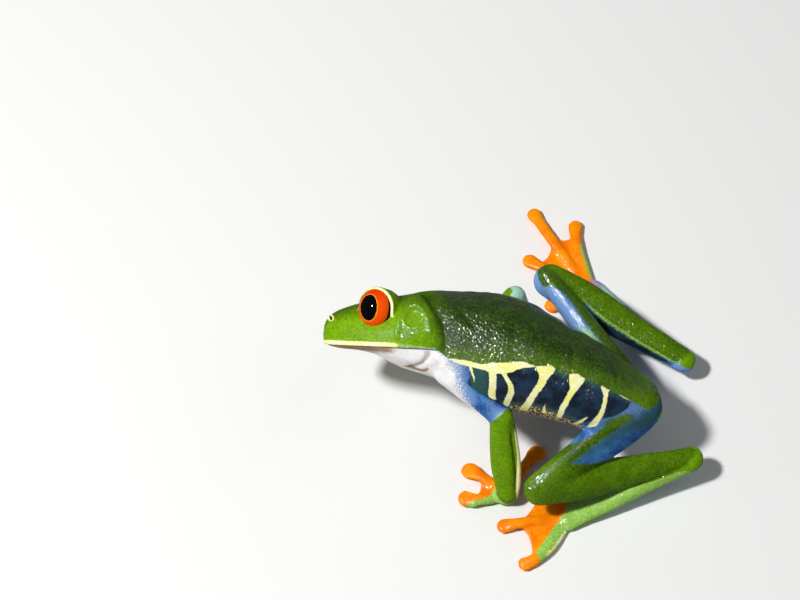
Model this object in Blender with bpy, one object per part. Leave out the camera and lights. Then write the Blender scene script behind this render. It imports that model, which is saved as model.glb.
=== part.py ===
"""Red-eyed tree frog: a still, life-size model, parted by thin cuts into the pieces that a person would name.

The numbers are millimetres, and the meshes are scaled to metres at the end. +Z is up. The head points to -X and
the frog's left side faces -Y. It stands on its finger pads, palms, soles and toe pads, with its trunk carried
clear of the ground and leaning over to its own right.
"""

import math

import bmesh
import bpy
import numpy as np
from mathutils import Matrix, Vector

MM = 0.001
GAP = 0.3               # width of every cut and of every face-to-face joint
BODY_HEIGHT = 15.5      # middle of the trunk above the ground
HEAD_LEAN = 60.0        # how far the head's crown is turned from upright, in degrees

# The trunk and head, one row for each cross-section from the snout to the vent:
# x, height of the widest line in the side view, depth above it, depth below it, half width, lean in degrees.
BODY_SECTIONS = (
    (-31.3, 3.8, 1.7, 0.8, 1.5, 60),
    (-30.9, 3.5, 3.0, 1.2, 2.7, 60),
    (-30.0, 3.2, 4.2, 1.3, 3.8, 60),
    (-28.5, 3.0, 5.2, 1.4, 5.0, 60),
    (-25.6, 2.9, 6.2, 1.6, 6.6, 60),
    (-22.4, 2.8, 7.0, 2.3, 7.9, 60),
    (-19.2, 2.9, 7.4, 4.0, 8.7, 60),
    (-16.0, 3.2, 7.6, 5.3, 8.8, 59),
    (-13.0, 3.3, 7.7, 6.6, 8.5, 56),
    (-8.0, 2.0, 8.8, 8.6, 8.9, 42),
    (-3.2, 1.3, 8.9, 8.8, 9.3, 34),
    (1.6, 0.2, 8.5, 8.4, 9.3, 30),
    (6.4, -1.8, 7.5, 7.5, 8.8, 30),
    (11.0, -3.7, 7.0, 7.0, 8.1, 31),
    (14.7, -5.0, 6.2, 6.2, 7.3, 32),
    (17.9, -6.1, 4.6, 4.7, 6.0, 32),
    (20.4, -6.5, 3.2, 3.2, 4.5, 32),
    (22.1, -6.5, 1.7, 1.7, 2.7, 32),
)
SNOUT_TIP = (-31.5, 4.1)
VENT_TIP = (22.7, -6.5)
BODY_SIDES = 32
RINGS_PER_SECTION = 2
BODY_SQUARENESS = 2.25  # 2 is an ellipse, more is squarer

NECK_X = -13.9
MOUTH_FRONT = (-31.3, 2.45)
MOUTH_CORNER = (-14.0, 1.85)

# The eyes, as x, height and distance from the middle plane in the side view.
EYE_CENTRE = (-22.8, 8.4, 5.4)
EYE_RADIUS = 2.95
GAZE_FORWARD = 32.0     # how far the eye looks forward of straight sideways, in degrees
GAZE_UP = 4.0
ORBIT_CENTRE = (-22.0, 8.2, 4.3)
ORBIT_RADII = (3.25, 3.1, 3.6)
LID_ANGLE = 78.0        # the lid's rim, measured round the eyeball from the middle of the pupil
LID_THICKNESS = 0.3
LIP_HEIGHT = 0.7        # the raised edge of the upper jaw
LIP_SWELL = 0.16

NOSTRIL = (-30.1, 6.7, 2.55)
NOSTRIL_BUMP = 0.62
NOSTRIL_PIT = 0.27
EARDRUM = (-17.0, 6.75, 8.25)
EARDRUM_RADIUS = 1.45
EARDRUM_RIM = 0.25

# Joint centres, as x, y and height above the ground.
JOINTS = {
    "left": {
        "shoulder": (-11.3, -3.9, 19.0),
        "elbow": (-3.0, -9.9, 14.0),
        "wrist": (-1.8, -17.0, 2.6),
        "palm": (-2.1, -16.4, 1.0),
        "hip": (19.2, -7.8, 13.3),
        "knee": (3.2, -19.0, 7.5),
        "heel": (27.5, -12.4, 5.0),
        "ankle": (13.7, -18.9, 1.9),
        "toe_root": (7.8, -20.8, 0.85),
    },
    "right": {
        "shoulder": (-9.8, 4.3, 11.1),
        "elbow": (-0.7, 11.6, 15.5),
        "wrist": (0.7, 11.8, 2.6),
        "palm": (0.4, 12.3, 1.0),
        "hip": (18.2, -1.2, 8.3),
        "knee": (5.5, 17.4, 10.8),
        "heel": (27.2, 6.3, 4.0),
        "ankle": (17.4, 16.7, 1.9),
        "toe_root": (12.8, 21.3, 0.85),
    },
}

# Each limb segment: the joints it runs between and its sections, as share of its length, half width in the
# plane in which the limb folds, and half thickness across that plane.
SEGMENTS = {
    "upper_arm": ("shoulder", "elbow", ((0, 2.7, 2.3), (0.35, 2.3, 2.0), (0.75, 1.75, 1.65), (1, 1.9, 1.8))),
    "forearm": ("elbow", "wrist", ((0, 1.95, 1.8), (0.3, 2.3, 2.0), (0.65, 2.45, 2.0), (1, 1.9, 1.6))),
    "thigh": ("hip", "knee", ((0, 3.6, 2.5), (0.25, 3.7, 2.4), (0.6, 3.0, 2.1), (1, 2.8, 1.9))),
    "shank": ("knee", "heel", ((0, 2.8, 1.9), (0.25, 3.2, 1.9), (0.5, 2.75, 1.8), (0.8, 2.2, 1.7), (1, 1.9, 1.6))),
    "tarsus": ("heel", "ankle", ((0, 2.15, 1.6), (0.5, 1.75, 1.3), (1, 1.6, 1.1))),
}
FOLDS = {"arm": ("shoulder", "elbow", "wrist"), "leg": ("hip", "knee", "heel")}
LIMB_OF = {"upper_arm": "arm", "forearm": "arm", "thigh": "leg", "shank": "leg", "tarsus": "leg"}
SECTION_TURN = {"left": {"arm": 0, "leg": 0}, "right": {"arm": 0, "leg": 45}}  # degrees about the segment
LIMB_SIDES = 14

PALM_RADII = (2.2, 2.2, 1.1)
SOLE_SECTIONS = ((0, 1.6, 1.1), (0.6, 1.9, 1.0), (1, 2.3, 0.95))

# Digits from the innermost outwards: where the middle of each pad rests, as x and y, and how far the digit bows
# out to its left as seen from its root.
FINGER_PADS = {
    "left": ((3.1, -9.1, 0.2), (-2.1, -9.4, 0.0), (-7.8, -12.3, 0.0), (-8.4, -17.3, 0.7)),
    "right": ((0.6, 5.2, 0.2), (-4.4, 6.6, 0.0), (-7.0, 12.2, 0.0), (-4.6, 17.4, -0.7)),
}
TOE_PADS = {
    "left": ((9.2, -15.4, -0.2), (5.2, -13.6, 0.2), (2.3, -15.3, -0.4), (-2.4, -22.2, 0.0), (0.9, -28.8, 1.0)),
    "right": ((10.8, 17.0, -0.2), (6.2, 18.6, 0.3), (2.7, 27.3, 0.3), (3.7, 36.4, 0.3), (10.6, 34.0, 0.6)),
}
# Half widths of a digit at its root, along its shaft and across its round pad.
FINGER_WIDTHS = (1.05, 0.95, 1.48)
TOE_WIDTHS = (1.05, 0.95, 1.28)
DIGIT_HEIGHTS = (0.65, 0.56, 0.6)   # half heights at the same places
OUTER_FRINGE = {"left": 1.25, "right": 1.05}    # widens the outermost digit by the skin along its edge
PAD_LENGTH = 2.2        # from the narrow neck behind a pad to the pad's middle
DIGIT_SIDES = 10
DIGIT_ARCH = 0.5        # how far a digit is lifted
PAD_HEIGHT = 0.5        # middle of a pad above the ground, less than its half height, so that it rests flat
WEB_THICKNESS = 0.5
WEB_HEIGHT = 0.65
WEB_HOLLOW = 0.22       # how far the free edge of a web curves in towards the root
# Each web: the digit that carries it, the digit it reaches to, and how far out it runs along the two.
FINGER_WEBS = {
    "left": ((1, 2, 0.5, 0.45), (2, 3, 0.5, 0.45), (4, 3, 0.76, 0.74)),
    "right": ((1, 2, 0.5, 0.45), (2, 3, 0.5, 0.45), (4, 3, 0.76, 0.74)),
}
TOE_WEBS = {
    "left": ((1, 2, 0.6, 0.5), (2, 3, 0.7, 0.6), (3, 4, 0.85, 0.8), (5, 4, 0.86, 0.8)),
    "right": ((1, 2, 0.6, 0.5), (2, 3, 0.7, 0.6), (3, 4, 0.88, 0.71), (5, 4, 0.92, 0.71)),
}

X_AXIS = Vector((1, 0, 0))
UP = Vector((0, 0, 1))


def dorsal(lean):
    """The direction of the back where the body leans over by so many degrees."""
    return Vector((0, math.sin(math.radians(lean)), math.cos(math.radians(lean))))


def leftward(lean):
    return Vector((0, -math.cos(math.radians(lean)), math.sin(math.radians(lean))))


def in_side_view(x, height, side=0.0):
    """A point of the head's side view, with side counted towards the frog's left."""
    middle = Vector((x, 0, BODY_HEIGHT))
    return middle + height * dorsal(HEAD_LEAN) + side * leftward(HEAD_LEAN)


def smooth_rows(rows, steps):
    """Rows of numbers with further rows between them on Catmull-Rom curves."""
    rows = np.array(rows, dtype=float)
    last = len(rows) - 1
    result = []
    for i in range(last):
        before, start, end, after = (rows[min(max(i + k, 0), last)] for k in (-1, 0, 1, 2))
        for step in range(steps):
            t = step / steps
            result.append(0.5 * (2 * start + (end - before) * t
                                 + (2 * before - 5 * start + 4 * end - after) * t ** 2
                                 + (3 * start - before - 3 * end + after) * t ** 3))
    result.append(rows[last])
    return [row.tolist() for row in result]


def ring(centre, across, upward, half_width, depth_up, depth_down, sides, squareness=2.0):
    """One closed cross-section, as a list of points."""
    points = []
    for i in range(sides):
        angle = 2 * math.pi * i / sides
        c, s = math.cos(angle), math.sin(angle)
        wide = half_width * math.copysign(abs(c) ** (2 / squareness), c)
        tall = (depth_up if s > 0 else depth_down) * math.copysign(abs(s) ** (2 / squareness), s)
        points.append(centre + wide * across + tall * upward)
    return points


def loft(name, rings, first_pole, last_pole):
    """A closed skin over rings of equal count, drawn to a point at each end."""
    bm = bmesh.new()
    loops = [[bm.verts.new(point) for point in points] for points in rings]
    for near, far in zip(loops, loops[1:]):
        for i in range(len(near)):
            j = (i + 1) % len(near)
            bm.faces.new((near[i], near[j], far[j], far[i]))
    for pole, loop in ((first_pole, loops[0]), (last_pole, loops[-1])):
        tip = bm.verts.new(pole)
        for i in range(len(loop)):
            bm.faces.new((tip, loop[i], loop[(i + 1) % len(loop)]))
    bmesh.ops.recalc_face_normals(bm, faces=bm.faces)
    return new_object(name, bm)


def new_object(name, bm):
    mesh = bpy.data.meshes.new(name)
    bm.to_mesh(mesh)
    bm.free()
    obj = bpy.data.objects.new(name, mesh)
    parts.objects.link(obj)
    return obj


def swept(name, start, end, sections, fold_normal, sides, grow=0.0, lift=0.0, bow=0.0):
    """A limb or digit with rounded ends from start to end, raised by lift and bowed sideways by bow on its way."""
    start, end = Vector(start), Vector(end)
    axis = (end - start).normalized()
    length = (end - start).length
    across = fold_normal.cross(axis).normalized()
    thick = axis.cross(across)
    rows = smooth_rows(sections, 2)
    steepest = 27 / 4       # makes s * s * (1 - s) peak at 1

    def place(share):
        bend = steepest * max(share * share * (1 - share), 0)
        return start + axis * (share * length) + (UP * lift + across * bow) * bend

    def rounded(pole, row, outward, turns):
        loops = []
        for turn in turns:
            shrink = math.cos(math.radians(turn))
            centre = pole + outward * (math.sin(math.radians(turn)) * (row[1] + grow))
            depth = (row[2] + grow) * shrink
            loops.append(ring(centre, across, thick, (row[1] + grow) * shrink, depth, depth, sides))
        return loops

    first, last = rows[0], rows[-1]
    rings = rounded(start, first, -axis, (60, 30))
    for share, wide, deep in rows:
        rings.append(ring(place(share), across, thick, wide + grow, deep + grow, deep + grow, sides))
    rings += rounded(end, last, axis, (30, 60))
    return loft(name, rings, start - axis * (first[1] + grow), end + axis * (last[1] + grow))


def body_loft(name, grow=0.0):
    """The trunk and head in one piece."""
    rings = []
    for x, height, up, down, half_width, lean in smooth_rows(BODY_SECTIONS, RINGS_PER_SECTION):
        centre = in_side_view(x, height)
        rings.append(ring(centre, leftward(lean), dorsal(lean), half_width + grow, up + grow, down + grow,
                          BODY_SIDES, BODY_SQUARENESS))
    snout = in_side_view(SNOUT_TIP[0] - grow, SNOUT_TIP[1])
    vent = in_side_view(VENT_TIP[0] + grow, VENT_TIP[1])
    return loft(name, rings, snout, vent)


def ball(name, centre, radii, segments=20, rows=12):
    bm = bmesh.new()
    bmesh.ops.create_uvsphere(bm, u_segments=segments, v_segments=rows, radius=1.0)
    obj = new_object(name, bm)
    obj.data.transform(Matrix.Translation(centre) @ Matrix.Diagonal((*radii, 1)))
    return obj


def torus(name, centre, normal, major, minor, around=24, section=8):
    """A ring of round wire, from a loop of sections."""
    bm = bmesh.new()
    normal = Vector(normal).normalized()
    side = normal.orthogonal().normalized()
    other = normal.cross(side)
    loops = []
    for i in range(around):
        turn = 2 * math.pi * i / around
        out = side * math.cos(turn) + other * math.sin(turn)
        loops.append([bm.verts.new(p) for p in
                      ring(Vector(centre) + out * major, out, normal, minor, minor, minor, section)])
    for i in range(around):
        near, far = loops[i], loops[(i + 1) % around]
        for j in range(section):
            k = (j + 1) % section
            bm.faces.new((near[j], near[k], far[k], far[j]))
    bmesh.ops.recalc_face_normals(bm, faces=bm.faces)
    return new_object(name, bm)


def cut(obj, point, keep_direction, clearance=GAP / 2):
    """Cuts the piece flat at a plane and keeps what lies on the side of keep_direction."""
    normal = Vector(keep_direction).normalized()
    bm = bmesh.new()
    bm.from_mesh(obj.data)
    bmesh.ops.bisect_plane(bm, geom=bm.verts[:] + bm.edges[:] + bm.faces[:], dist=1e-5,
                           plane_co=Vector(point) + normal * clearance, plane_no=-normal, clear_outer=True)
    open_edges = [edge for edge in bm.edges if edge.is_boundary]
    if open_edges:
        bmesh.ops.holes_fill(bm, edges=open_edges, sides=0)
    bm.to_mesh(obj.data)
    bm.free()


def is_closed(mesh):
    bm = bmesh.new()
    bm.from_mesh(mesh)
    closed = len(bm.faces) > 0 and all(edge.is_manifold for edge in bm.edges)
    bm.free()
    return closed


def boolean_of(obj, operation, **operand):
    """Applies a Boolean to a piece, by the other solver where the exact one leaves no closed body."""
    for solver in ("EXACT", "MANIFOLD"):
        boolean = obj.modifiers.new("boolean", "BOOLEAN")
        boolean.operation = operation
        boolean.solver = solver
        for name, value in operand.items():
            setattr(boolean, name, value)
        graph = bpy.context.evaluated_depsgraph_get()
        mesh = bpy.data.meshes.new_from_object(obj.evaluated_get(graph))
        obj.modifiers.clear()
        if is_closed(mesh):
            break
    obj.data = mesh


def join(obj, others):
    """Unites closed pieces with a piece."""
    group = bpy.data.collections.new("to_join")
    bpy.context.scene.collection.children.link(group)
    for other in others:
        group.objects.link(other)
    boolean_of(obj, "UNION", operand_type="COLLECTION", collection=group)
    for other in others:
        bpy.data.objects.remove(other)
    bpy.data.collections.remove(group)


def carve(obj, cutters):
    """Takes cutters away from a piece and keeps its largest body."""
    for cutter in cutters:
        boolean_of(obj, "DIFFERENCE", object=cutter)
    keep_largest(obj)


def keep_largest(obj):
    bm = bmesh.new()
    bm.from_mesh(obj.data)
    seen = set()
    islands = []
    for vert in bm.verts:
        if vert in seen:
            continue
        island, queue = [], [vert]
        seen.add(vert)
        while queue:
            current = queue.pop()
            island.append(current)
            for edge in current.link_edges:
                other = edge.other_vert(current)
                if other not in seen:
                    seen.add(other)
                    queue.append(other)
        islands.append(island)
    islands.sort(key=len)
    for island in islands[:-1]:
        bmesh.ops.delete(bm, geom=island, context="VERTS")
    bm.to_mesh(obj.data)
    bm.free()


def copy_of(obj, name):
    twin = bpy.data.objects.new(name, obj.data.copy())
    parts.objects.link(twin)
    return twin


def discard(objects):
    for obj in objects:
        bpy.data.objects.remove(obj)


def material(name, colour, roughness):
    made = bpy.data.materials.new(name)
    made.use_nodes = True
    shader = made.node_tree.nodes["Principled BSDF"]
    shader.inputs["Base Color"].default_value = (*colour, 1)
    shader.inputs["Roughness"].default_value = roughness
    shader.inputs["Metallic"].default_value = 0.0
    return made


def gaze(sign):
    """The way an eye looks, for the left eye with sign 1 and the right with -1."""
    forward, upward = math.radians(GAZE_FORWARD), math.radians(GAZE_UP)
    flat = -X_AXIS * math.sin(forward) + sign * leftward(HEAD_LEAN) * math.cos(forward)
    return (flat * math.cos(upward) + dorsal(HEAD_LEAN) * math.sin(upward)).normalized()


def make_head():
    """The head with its orbits, lids, eyeballs, nostrils, eardrums and the lower jaw."""
    head = body_loft("head")
    cut(head, (NECK_X, 0, 0), -X_AXIS)
    along_mouth = in_side_view(*MOUTH_CORNER) - in_side_view(*MOUTH_FRONT)
    above_mouth = along_mouth.cross(leftward(HEAD_LEAN)).normalized()
    if above_mouth.dot(dorsal(HEAD_LEAN)) < 0:
        above_mouth.negate()
    jaw = copy_of(head, "lower_jaw")
    cut(jaw, in_side_view(*MOUTH_CORNER), -above_mouth)
    cut(head, in_side_view(*MOUTH_CORNER), above_mouth)

    lip = body_loft("lip", LIP_SWELL)
    cut(lip, (NECK_X, 0, 0), -X_AXIS)
    cut(lip, in_side_view(*MOUTH_CORNER), above_mouth)
    cut(lip, in_side_view(*MOUTH_CORNER) + above_mouth * (GAP / 2 + LIP_HEIGHT), -above_mouth, 0)

    raised, sockets = [lip], []
    for side, sign in (("left", 1), ("right", -1)):
        eye_centre = in_side_view(EYE_CENTRE[0], EYE_CENTRE[1], sign * EYE_CENTRE[2])
        look = gaze(sign)
        lid = ball("lid", eye_centre, (EYE_RADIUS + GAP + LID_THICKNESS,) * 3, 24, 14)
        cut(lid, eye_centre + look * EYE_RADIUS * math.cos(math.radians(LID_ANGLE)), -look, 0)
        raised += [
            ball("orbit", in_side_view(ORBIT_CENTRE[0], ORBIT_CENTRE[1], sign * ORBIT_CENTRE[2]), ORBIT_RADII),
            lid,
            ball("nostril", in_side_view(NOSTRIL[0], NOSTRIL[1], sign * NOSTRIL[2]), (NOSTRIL_BUMP,) * 3, 12, 8),
            torus("eardrum", in_side_view(EARDRUM[0], EARDRUM[1], sign * EARDRUM[2]),
                  sign * leftward(HEAD_LEAN) + 0.25 * dorsal(HEAD_LEAN), EARDRUM_RADIUS, EARDRUM_RIM, 20, 6),
        ]
        pit_centre = in_side_view(NOSTRIL[0] - 0.1, NOSTRIL[1] + 0.05, sign * (NOSTRIL[2] + 0.55))
        sockets += [
            ball("socket", eye_centre, (EYE_RADIUS + GAP,) * 3),
            ball("nostril_pit", pit_centre, (NOSTRIL_PIT,) * 3, 8, 6),
        ]
        eye = ball(f"eye_{side}", eye_centre, (EYE_RADIUS,) * 3, 24, 14)
        eye.data.materials.append(iris_red)
    join(head, raised)
    carve(head, sockets)
    discard(sockets)
    head.data.materials.append(leaf_green)
    jaw.data.materials.append(throat_white)


def make_torso():
    torso = body_loft("torso")
    cut(torso, (NECK_X, 0, 0), X_AXIS)
    torso.data.materials.append(leaf_green)


def make_limbs(side, around_body):
    """The arms and legs of one side, each cut from its neighbours where they fold or meet."""
    place = {name: Vector(point) for name, point in JOINTS[side].items()}
    normals = {}
    for limb, (root, middle, end) in FOLDS.items():
        normals[limb] = (place[root] - place[middle]).cross(place[end] - place[middle]).normalized()
    pieces = {}
    for name, (start, end, sections) in SEGMENTS.items():
        turned = UP
        if name != "tarsus":
            turn = math.radians(SECTION_TURN[side][LIMB_OF[name]])
            turned = Matrix.Rotation(turn, 3, place[end] - place[start]) @ normals[LIMB_OF[name]]
        pieces[name] = swept(f"{name}_{side}", place[start], place[end], sections, turned, LIMB_SIDES)
        pieces[name].data.materials.append(leaf_green)
    palm = ball(f"hand_{side}", place["palm"], PALM_RADII, 16, 10)
    cut(palm, (0, 0, 0), UP, 0)
    palm_room = ball("palm_room", place["palm"], tuple(r + GAP for r in PALM_RADII), 16, 10)
    sole = swept(f"foot_{side}", place["ankle"], place["toe_root"], SOLE_SECTIONS, UP, LIMB_SIDES)
    sole_room = swept("sole_room", place["ankle"], place["toe_root"], SOLE_SECTIONS, UP, LIMB_SIDES, GAP)
    for piece in (palm, sole):
        piece.data.materials.append(toe_orange)

    for near, far, joint, before, after in (
        (pieces["upper_arm"], pieces["forearm"], "elbow", "shoulder", "wrist"),
        (pieces["thigh"], pieces["shank"], "knee", "hip", "heel"),
        (pieces["shank"], pieces["tarsus"], "heel", "knee", "ankle"),
        (pieces["tarsus"], sole, "ankle", "heel", "toe_root"),
    ):
        back = (place[before] - place[joint]).normalized()
        ahead = (place[after] - place[joint]).normalized()
        cut(near, place[joint], back - ahead)
        cut(far, place[joint], ahead - back)
    for piece in (sole, pieces["tarsus"]):
        cut(piece, (0, 0, 0), UP, 0)
    carve(pieces["forearm"], [palm_room])
    for name in ("upper_arm", "forearm", "thigh"):
        carve(pieces[name], [around_body])

    make_digits("finger", side, place["palm"], FINGER_PADS[side], FINGER_WIDTHS, FINGER_WEBS[side], palm_room)
    make_digits("toe", side, place["toe_root"], TOE_PADS[side], TOE_WIDTHS, TOE_WEBS[side], sole_room)
    discard([palm_room, sole_room])


def digit_sections(length, widths, fringe):
    root_width, shaft_width, pad_width = widths
    root_height, shaft_height, pad_height = DIGIT_HEIGHTS
    neck = 1 - PAD_LENGTH / length
    return (
        (0, root_width * fringe, root_height),
        (neck * 0.55, shaft_width * fringe, shaft_height),
        (neck, shaft_width, shaft_height),
        (1 - 0.4 * PAD_LENGTH / length, 0.88 * pad_width, pad_height),
        (1, pad_width, pad_height),
    )


def make_digits(name, side, root, pads, widths, webs, root_room):
    """The fingers or toes of one hand or foot, each with the web that it carries."""
    root = Vector((root[0], root[1], PAD_HEIGHT))
    ends = [Vector((x, y, PAD_HEIGHT)) for x, y, bow in pads]
    digits, rooms = [], []
    for i, (end, (x, y, bow)) in enumerate(zip(ends, pads)):
        fringe = OUTER_FRINGE[side] if i == len(pads) - 1 else 1
        sections = digit_sections((end - root).length, widths, fringe)
        digits.append(swept(f"{name}_{side}_{i + 1}", root, end, sections, UP, DIGIT_SIDES, 0, DIGIT_ARCH, bow))
        rooms.append(swept("digit_room", root, end, sections, UP, DIGIT_SIDES, GAP, DIGIT_ARCH, bow))
    carriers = set()
    for carrier, other, reach, other_reach in webs:
        web = make_web(root, ends[carrier - 1], ends[other - 1], reach, other_reach)
        join(digits[carrier - 1], [web])
        carriers.add(carrier)
    for i, digit in enumerate(digits):
        neighbours = [rooms[j] for j in (i - 1, i + 1) if 0 <= j < len(rooms)]
        first_cut = [room for room in neighbours if i + 1 in carriers or room is rooms[i - 1]]
        carve(digit, [root_room] + first_cut)
        cut(digit, (0, 0, 0), UP, 0)
        digit.data.materials.clear()
        digit.data.materials.append(toe_orange)
    discard(rooms)


def make_web(root, end, other_end, reach, other_reach):
    """A thin skin between two digits, hollowed at its free edge."""
    near = root.lerp(end, reach)
    far = root.lerp(other_end, other_reach)
    middle = near.lerp(far, 0.5).lerp(root, WEB_HOLLOW)
    edge = [near.lerp(middle, t).lerp(middle.lerp(far, t), t) for t in (0, 0.25, 0.5, 0.75, 1)]
    bm = bmesh.new()
    outline = [bm.verts.new((p.x, p.y, WEB_HEIGHT - WEB_THICKNESS / 2)) for p in [root] + edge]
    face = bm.faces.new(outline)
    raised = bmesh.ops.extrude_face_region(bm, geom=[face])["geom"]
    bmesh.ops.translate(bm, vec=(0, 0, WEB_THICKNESS), verts=[v for v in raised if isinstance(v, bmesh.types.BMVert)])
    bmesh.ops.recalc_face_normals(bm, faces=bm.faces)
    return new_object("web", bm)


def finish():
    """Scales the pieces to metres and puts the origin under the middle of the whole box."""
    corners = np.array([v.co for obj in parts.objects for v in obj.data.vertices])
    low, high = corners.min(axis=0), corners.max(axis=0)
    origin = Vector(((low[0] + high[0]) / 2, (low[1] + high[1]) / 2, low[2]))
    for obj in parts.objects:
        obj.data.transform(Matrix.Scale(MM, 4) @ Matrix.Translation(-origin))
        obj.data.shade_smooth()
        obj.data.set_sharp_from_angle(angle=math.radians(50))


for leftover in list(bpy.data.objects):
    bpy.data.objects.remove(leftover)
parts = bpy.data.collections.new("red_eyed_tree_frog")
bpy.context.scene.collection.children.link(parts)
leaf_green = material("leaf_green_skin", (0.09, 0.27, 0.02), 0.35)
throat_white = material("throat_white_skin", (0.8, 0.78, 0.72), 0.4)
toe_orange = material("toe_orange_skin", (0.95, 0.27, 0.01), 0.35)
iris_red = material("iris_red", (0.75, 0.06, 0.01), 0.1)

make_head()
make_torso()
body_room = body_loft("body_room", GAP)
for body_side in ("left", "right"):
    make_limbs(body_side, body_room)
discard([body_room])
finish()
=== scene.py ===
"""Red-eyed tree frog: a still, life-size model with one moist skin and two eyes set in it.

Sizes are in millimetres, in the frog's own working frame: +X towards its rear, +Z up from the floor, and
the middle of the trunk over the origin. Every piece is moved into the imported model's frame, in metres, at
its end.
"""
import math

import bpy
import numpy as np
from mathutils import Matrix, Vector
from mathutils.bvhtree import BVHTree


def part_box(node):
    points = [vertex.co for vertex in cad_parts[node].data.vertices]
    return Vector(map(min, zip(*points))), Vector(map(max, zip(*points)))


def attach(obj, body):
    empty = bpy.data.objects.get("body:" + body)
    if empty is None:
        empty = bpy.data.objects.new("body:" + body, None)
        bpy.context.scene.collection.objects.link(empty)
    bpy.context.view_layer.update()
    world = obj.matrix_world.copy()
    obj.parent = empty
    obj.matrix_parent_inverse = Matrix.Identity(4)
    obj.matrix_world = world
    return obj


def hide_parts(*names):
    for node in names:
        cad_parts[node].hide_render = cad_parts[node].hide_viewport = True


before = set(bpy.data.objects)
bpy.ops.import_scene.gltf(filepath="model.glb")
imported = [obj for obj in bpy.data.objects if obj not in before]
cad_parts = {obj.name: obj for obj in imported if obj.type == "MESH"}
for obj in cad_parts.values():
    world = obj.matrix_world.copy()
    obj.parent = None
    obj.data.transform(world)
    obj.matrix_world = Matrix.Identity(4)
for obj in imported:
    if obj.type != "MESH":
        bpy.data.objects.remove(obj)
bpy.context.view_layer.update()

# Trunk and head.
# The body of a slim tree frog, moulded in soft skin-coloured resin as one form from the snout to the vent.
# It leans over to its own right, so each cross-section has its own lean; the shapes here are sources for the
# skin.
BODY_HEIGHT = 15.5
HEAD_LEAN = 60.0
# x, height of the widest line in the side view, depth above it, depth below it, half width, lean in degrees
BODY_SECTIONS = (
    (-31.3, 3.8, 1.7, 0.8, 1.5, 60),
    (-30.9, 3.5, 3.0, 1.2, 2.7, 60),
    (-30.0, 3.2, 4.2, 1.3, 3.8, 60),
    (-28.5, 3.0, 5.2, 1.4, 5.0, 60),
    (-25.6, 2.9, 6.2, 1.6, 6.6, 60),
    (-22.4, 2.8, 7.0, 2.3, 7.9, 60),
    (-19.2, 2.9, 7.4, 4.0, 8.7, 60),
    (-16.0, 3.2, 7.6, 5.3, 8.8, 59),
    (-13.0, 3.3, 7.7, 6.6, 8.5, 56),
    (-8.0, 2.0, 8.8, 8.6, 8.9, 42),
    (-3.2, 1.3, 8.9, 8.8, 9.3, 34),
    (1.6, 0.2, 8.5, 8.4, 9.3, 30),
    (6.4, -1.8, 7.5, 7.5, 8.8, 30),
    (11.0, -3.7, 7.0, 7.0, 8.1, 31),
    (14.7, -5.0, 6.2, 6.2, 7.3, 32),
    (17.9, -6.1, 4.6, 4.7, 6.0, 32),
    (20.4, -6.5, 3.2, 3.2, 4.5, 32),
    (22.1, -6.5, 1.7, 1.7, 2.7, 32),
)
SNOUT_TIP = (-31.5, 4.1)
VENT_TIP = (22.7, -6.5)
BODY_SQUARENESS = 2.25
UP = np.array((0.0, 0.0, 1.0))
FORWARD = np.array((-1.0, 0.0, 0.0))
SIDES = {"left": 1, "right": -1}
flesh = []


def unit(vector):
    return vector / np.linalg.norm(vector, axis=-1, keepdims=True)


def dorsal(lean):
    """The direction of the back where the body leans over by so many degrees."""
    lean = np.radians(np.asarray(lean, dtype=float))
    return np.stack([0 * lean, np.sin(lean), np.cos(lean)], axis=-1)


def leftward(lean):
    lean = np.radians(np.asarray(lean, dtype=float))
    return np.stack([0 * lean, -np.cos(lean), np.sin(lean)], axis=-1)


def in_side_view(x, height, side=0.0):
    """Places in the head's side view, with side counted towards the frog's left."""
    x, height, side = (np.asarray(v, dtype=float)[..., None] for v in (x, height, side))
    middle = x * np.array((1.0, 0, 0)) + BODY_HEIGHT * UP
    return middle + height * dorsal(HEAD_LEAN) + side * leftward(HEAD_LEAN)


def smooth_rows(rows, steps):
    """Rows of numbers with further rows between them on Catmull-Rom curves."""
    rows = np.array(rows, dtype=float)
    last = len(rows) - 1
    t = np.arange(steps)[:, None] / steps
    pieces = []
    for i in range(last):
        before, start, end, after = (rows[min(max(i + k, 0), last)] for k in (-1, 0, 1, 2))
        pieces.append(0.5 * (2 * start + (end - before) * t
                             + (2 * before - 5 * start + 4 * end - after) * t ** 2
                             + (3 * start - before - 3 * end + after) * t ** 3))
    return np.concatenate(pieces + [rows[last:]])


def smooth_step(value, low, high):
    t = np.clip((value - low) / (high - low), 0, 1)
    return t * t * (3 - 2 * t)


def signed_power(value, power):
    return np.sign(value) * np.abs(value) ** power


def sections_at(centre, across, upward, wide, up, down, sides, squareness=2.0):
    """Closed cross-sections, one for each row of sizes."""
    turn = 2 * np.pi * np.arange(sides) / sides
    c = signed_power(np.cos(turn), 2 / squareness)
    s = signed_power(np.sin(turn), 2 / squareness)
    depth = np.where(s > 0, up[:, None], down[:, None]) * s
    return (centre[:, None, :] + (wide[:, None] * c)[..., None] * across[:, None, :]
            + depth[..., None] * upward[:, None, :])


def add_flesh(name, rings, first_pole, last_pole, limb=None):
    """Keeps a closed form, drawn to a point at both ends, as a source for the skin."""
    count, sides, _ = rings.shape
    points = np.concatenate([rings.reshape(-1, 3), first_pole[None], last_pole[None]])
    faces = []
    for i in range(count - 1):
        for j in range(sides):
            k = (j + 1) % sides
            faces.append((i * sides + j, i * sides + k, (i + 1) * sides + k, (i + 1) * sides + j))
    for pole, start in ((count * sides, 0), (count * sides + 1, (count - 1) * sides)):
        faces += [(pole, start + j, start + (j + 1) % sides) for j in range(sides)]
    points[:, 2] = np.maximum(points[:, 2], 0)
    flesh.append({"name": name, "points": points, "faces": faces, "limb": limb})


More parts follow.
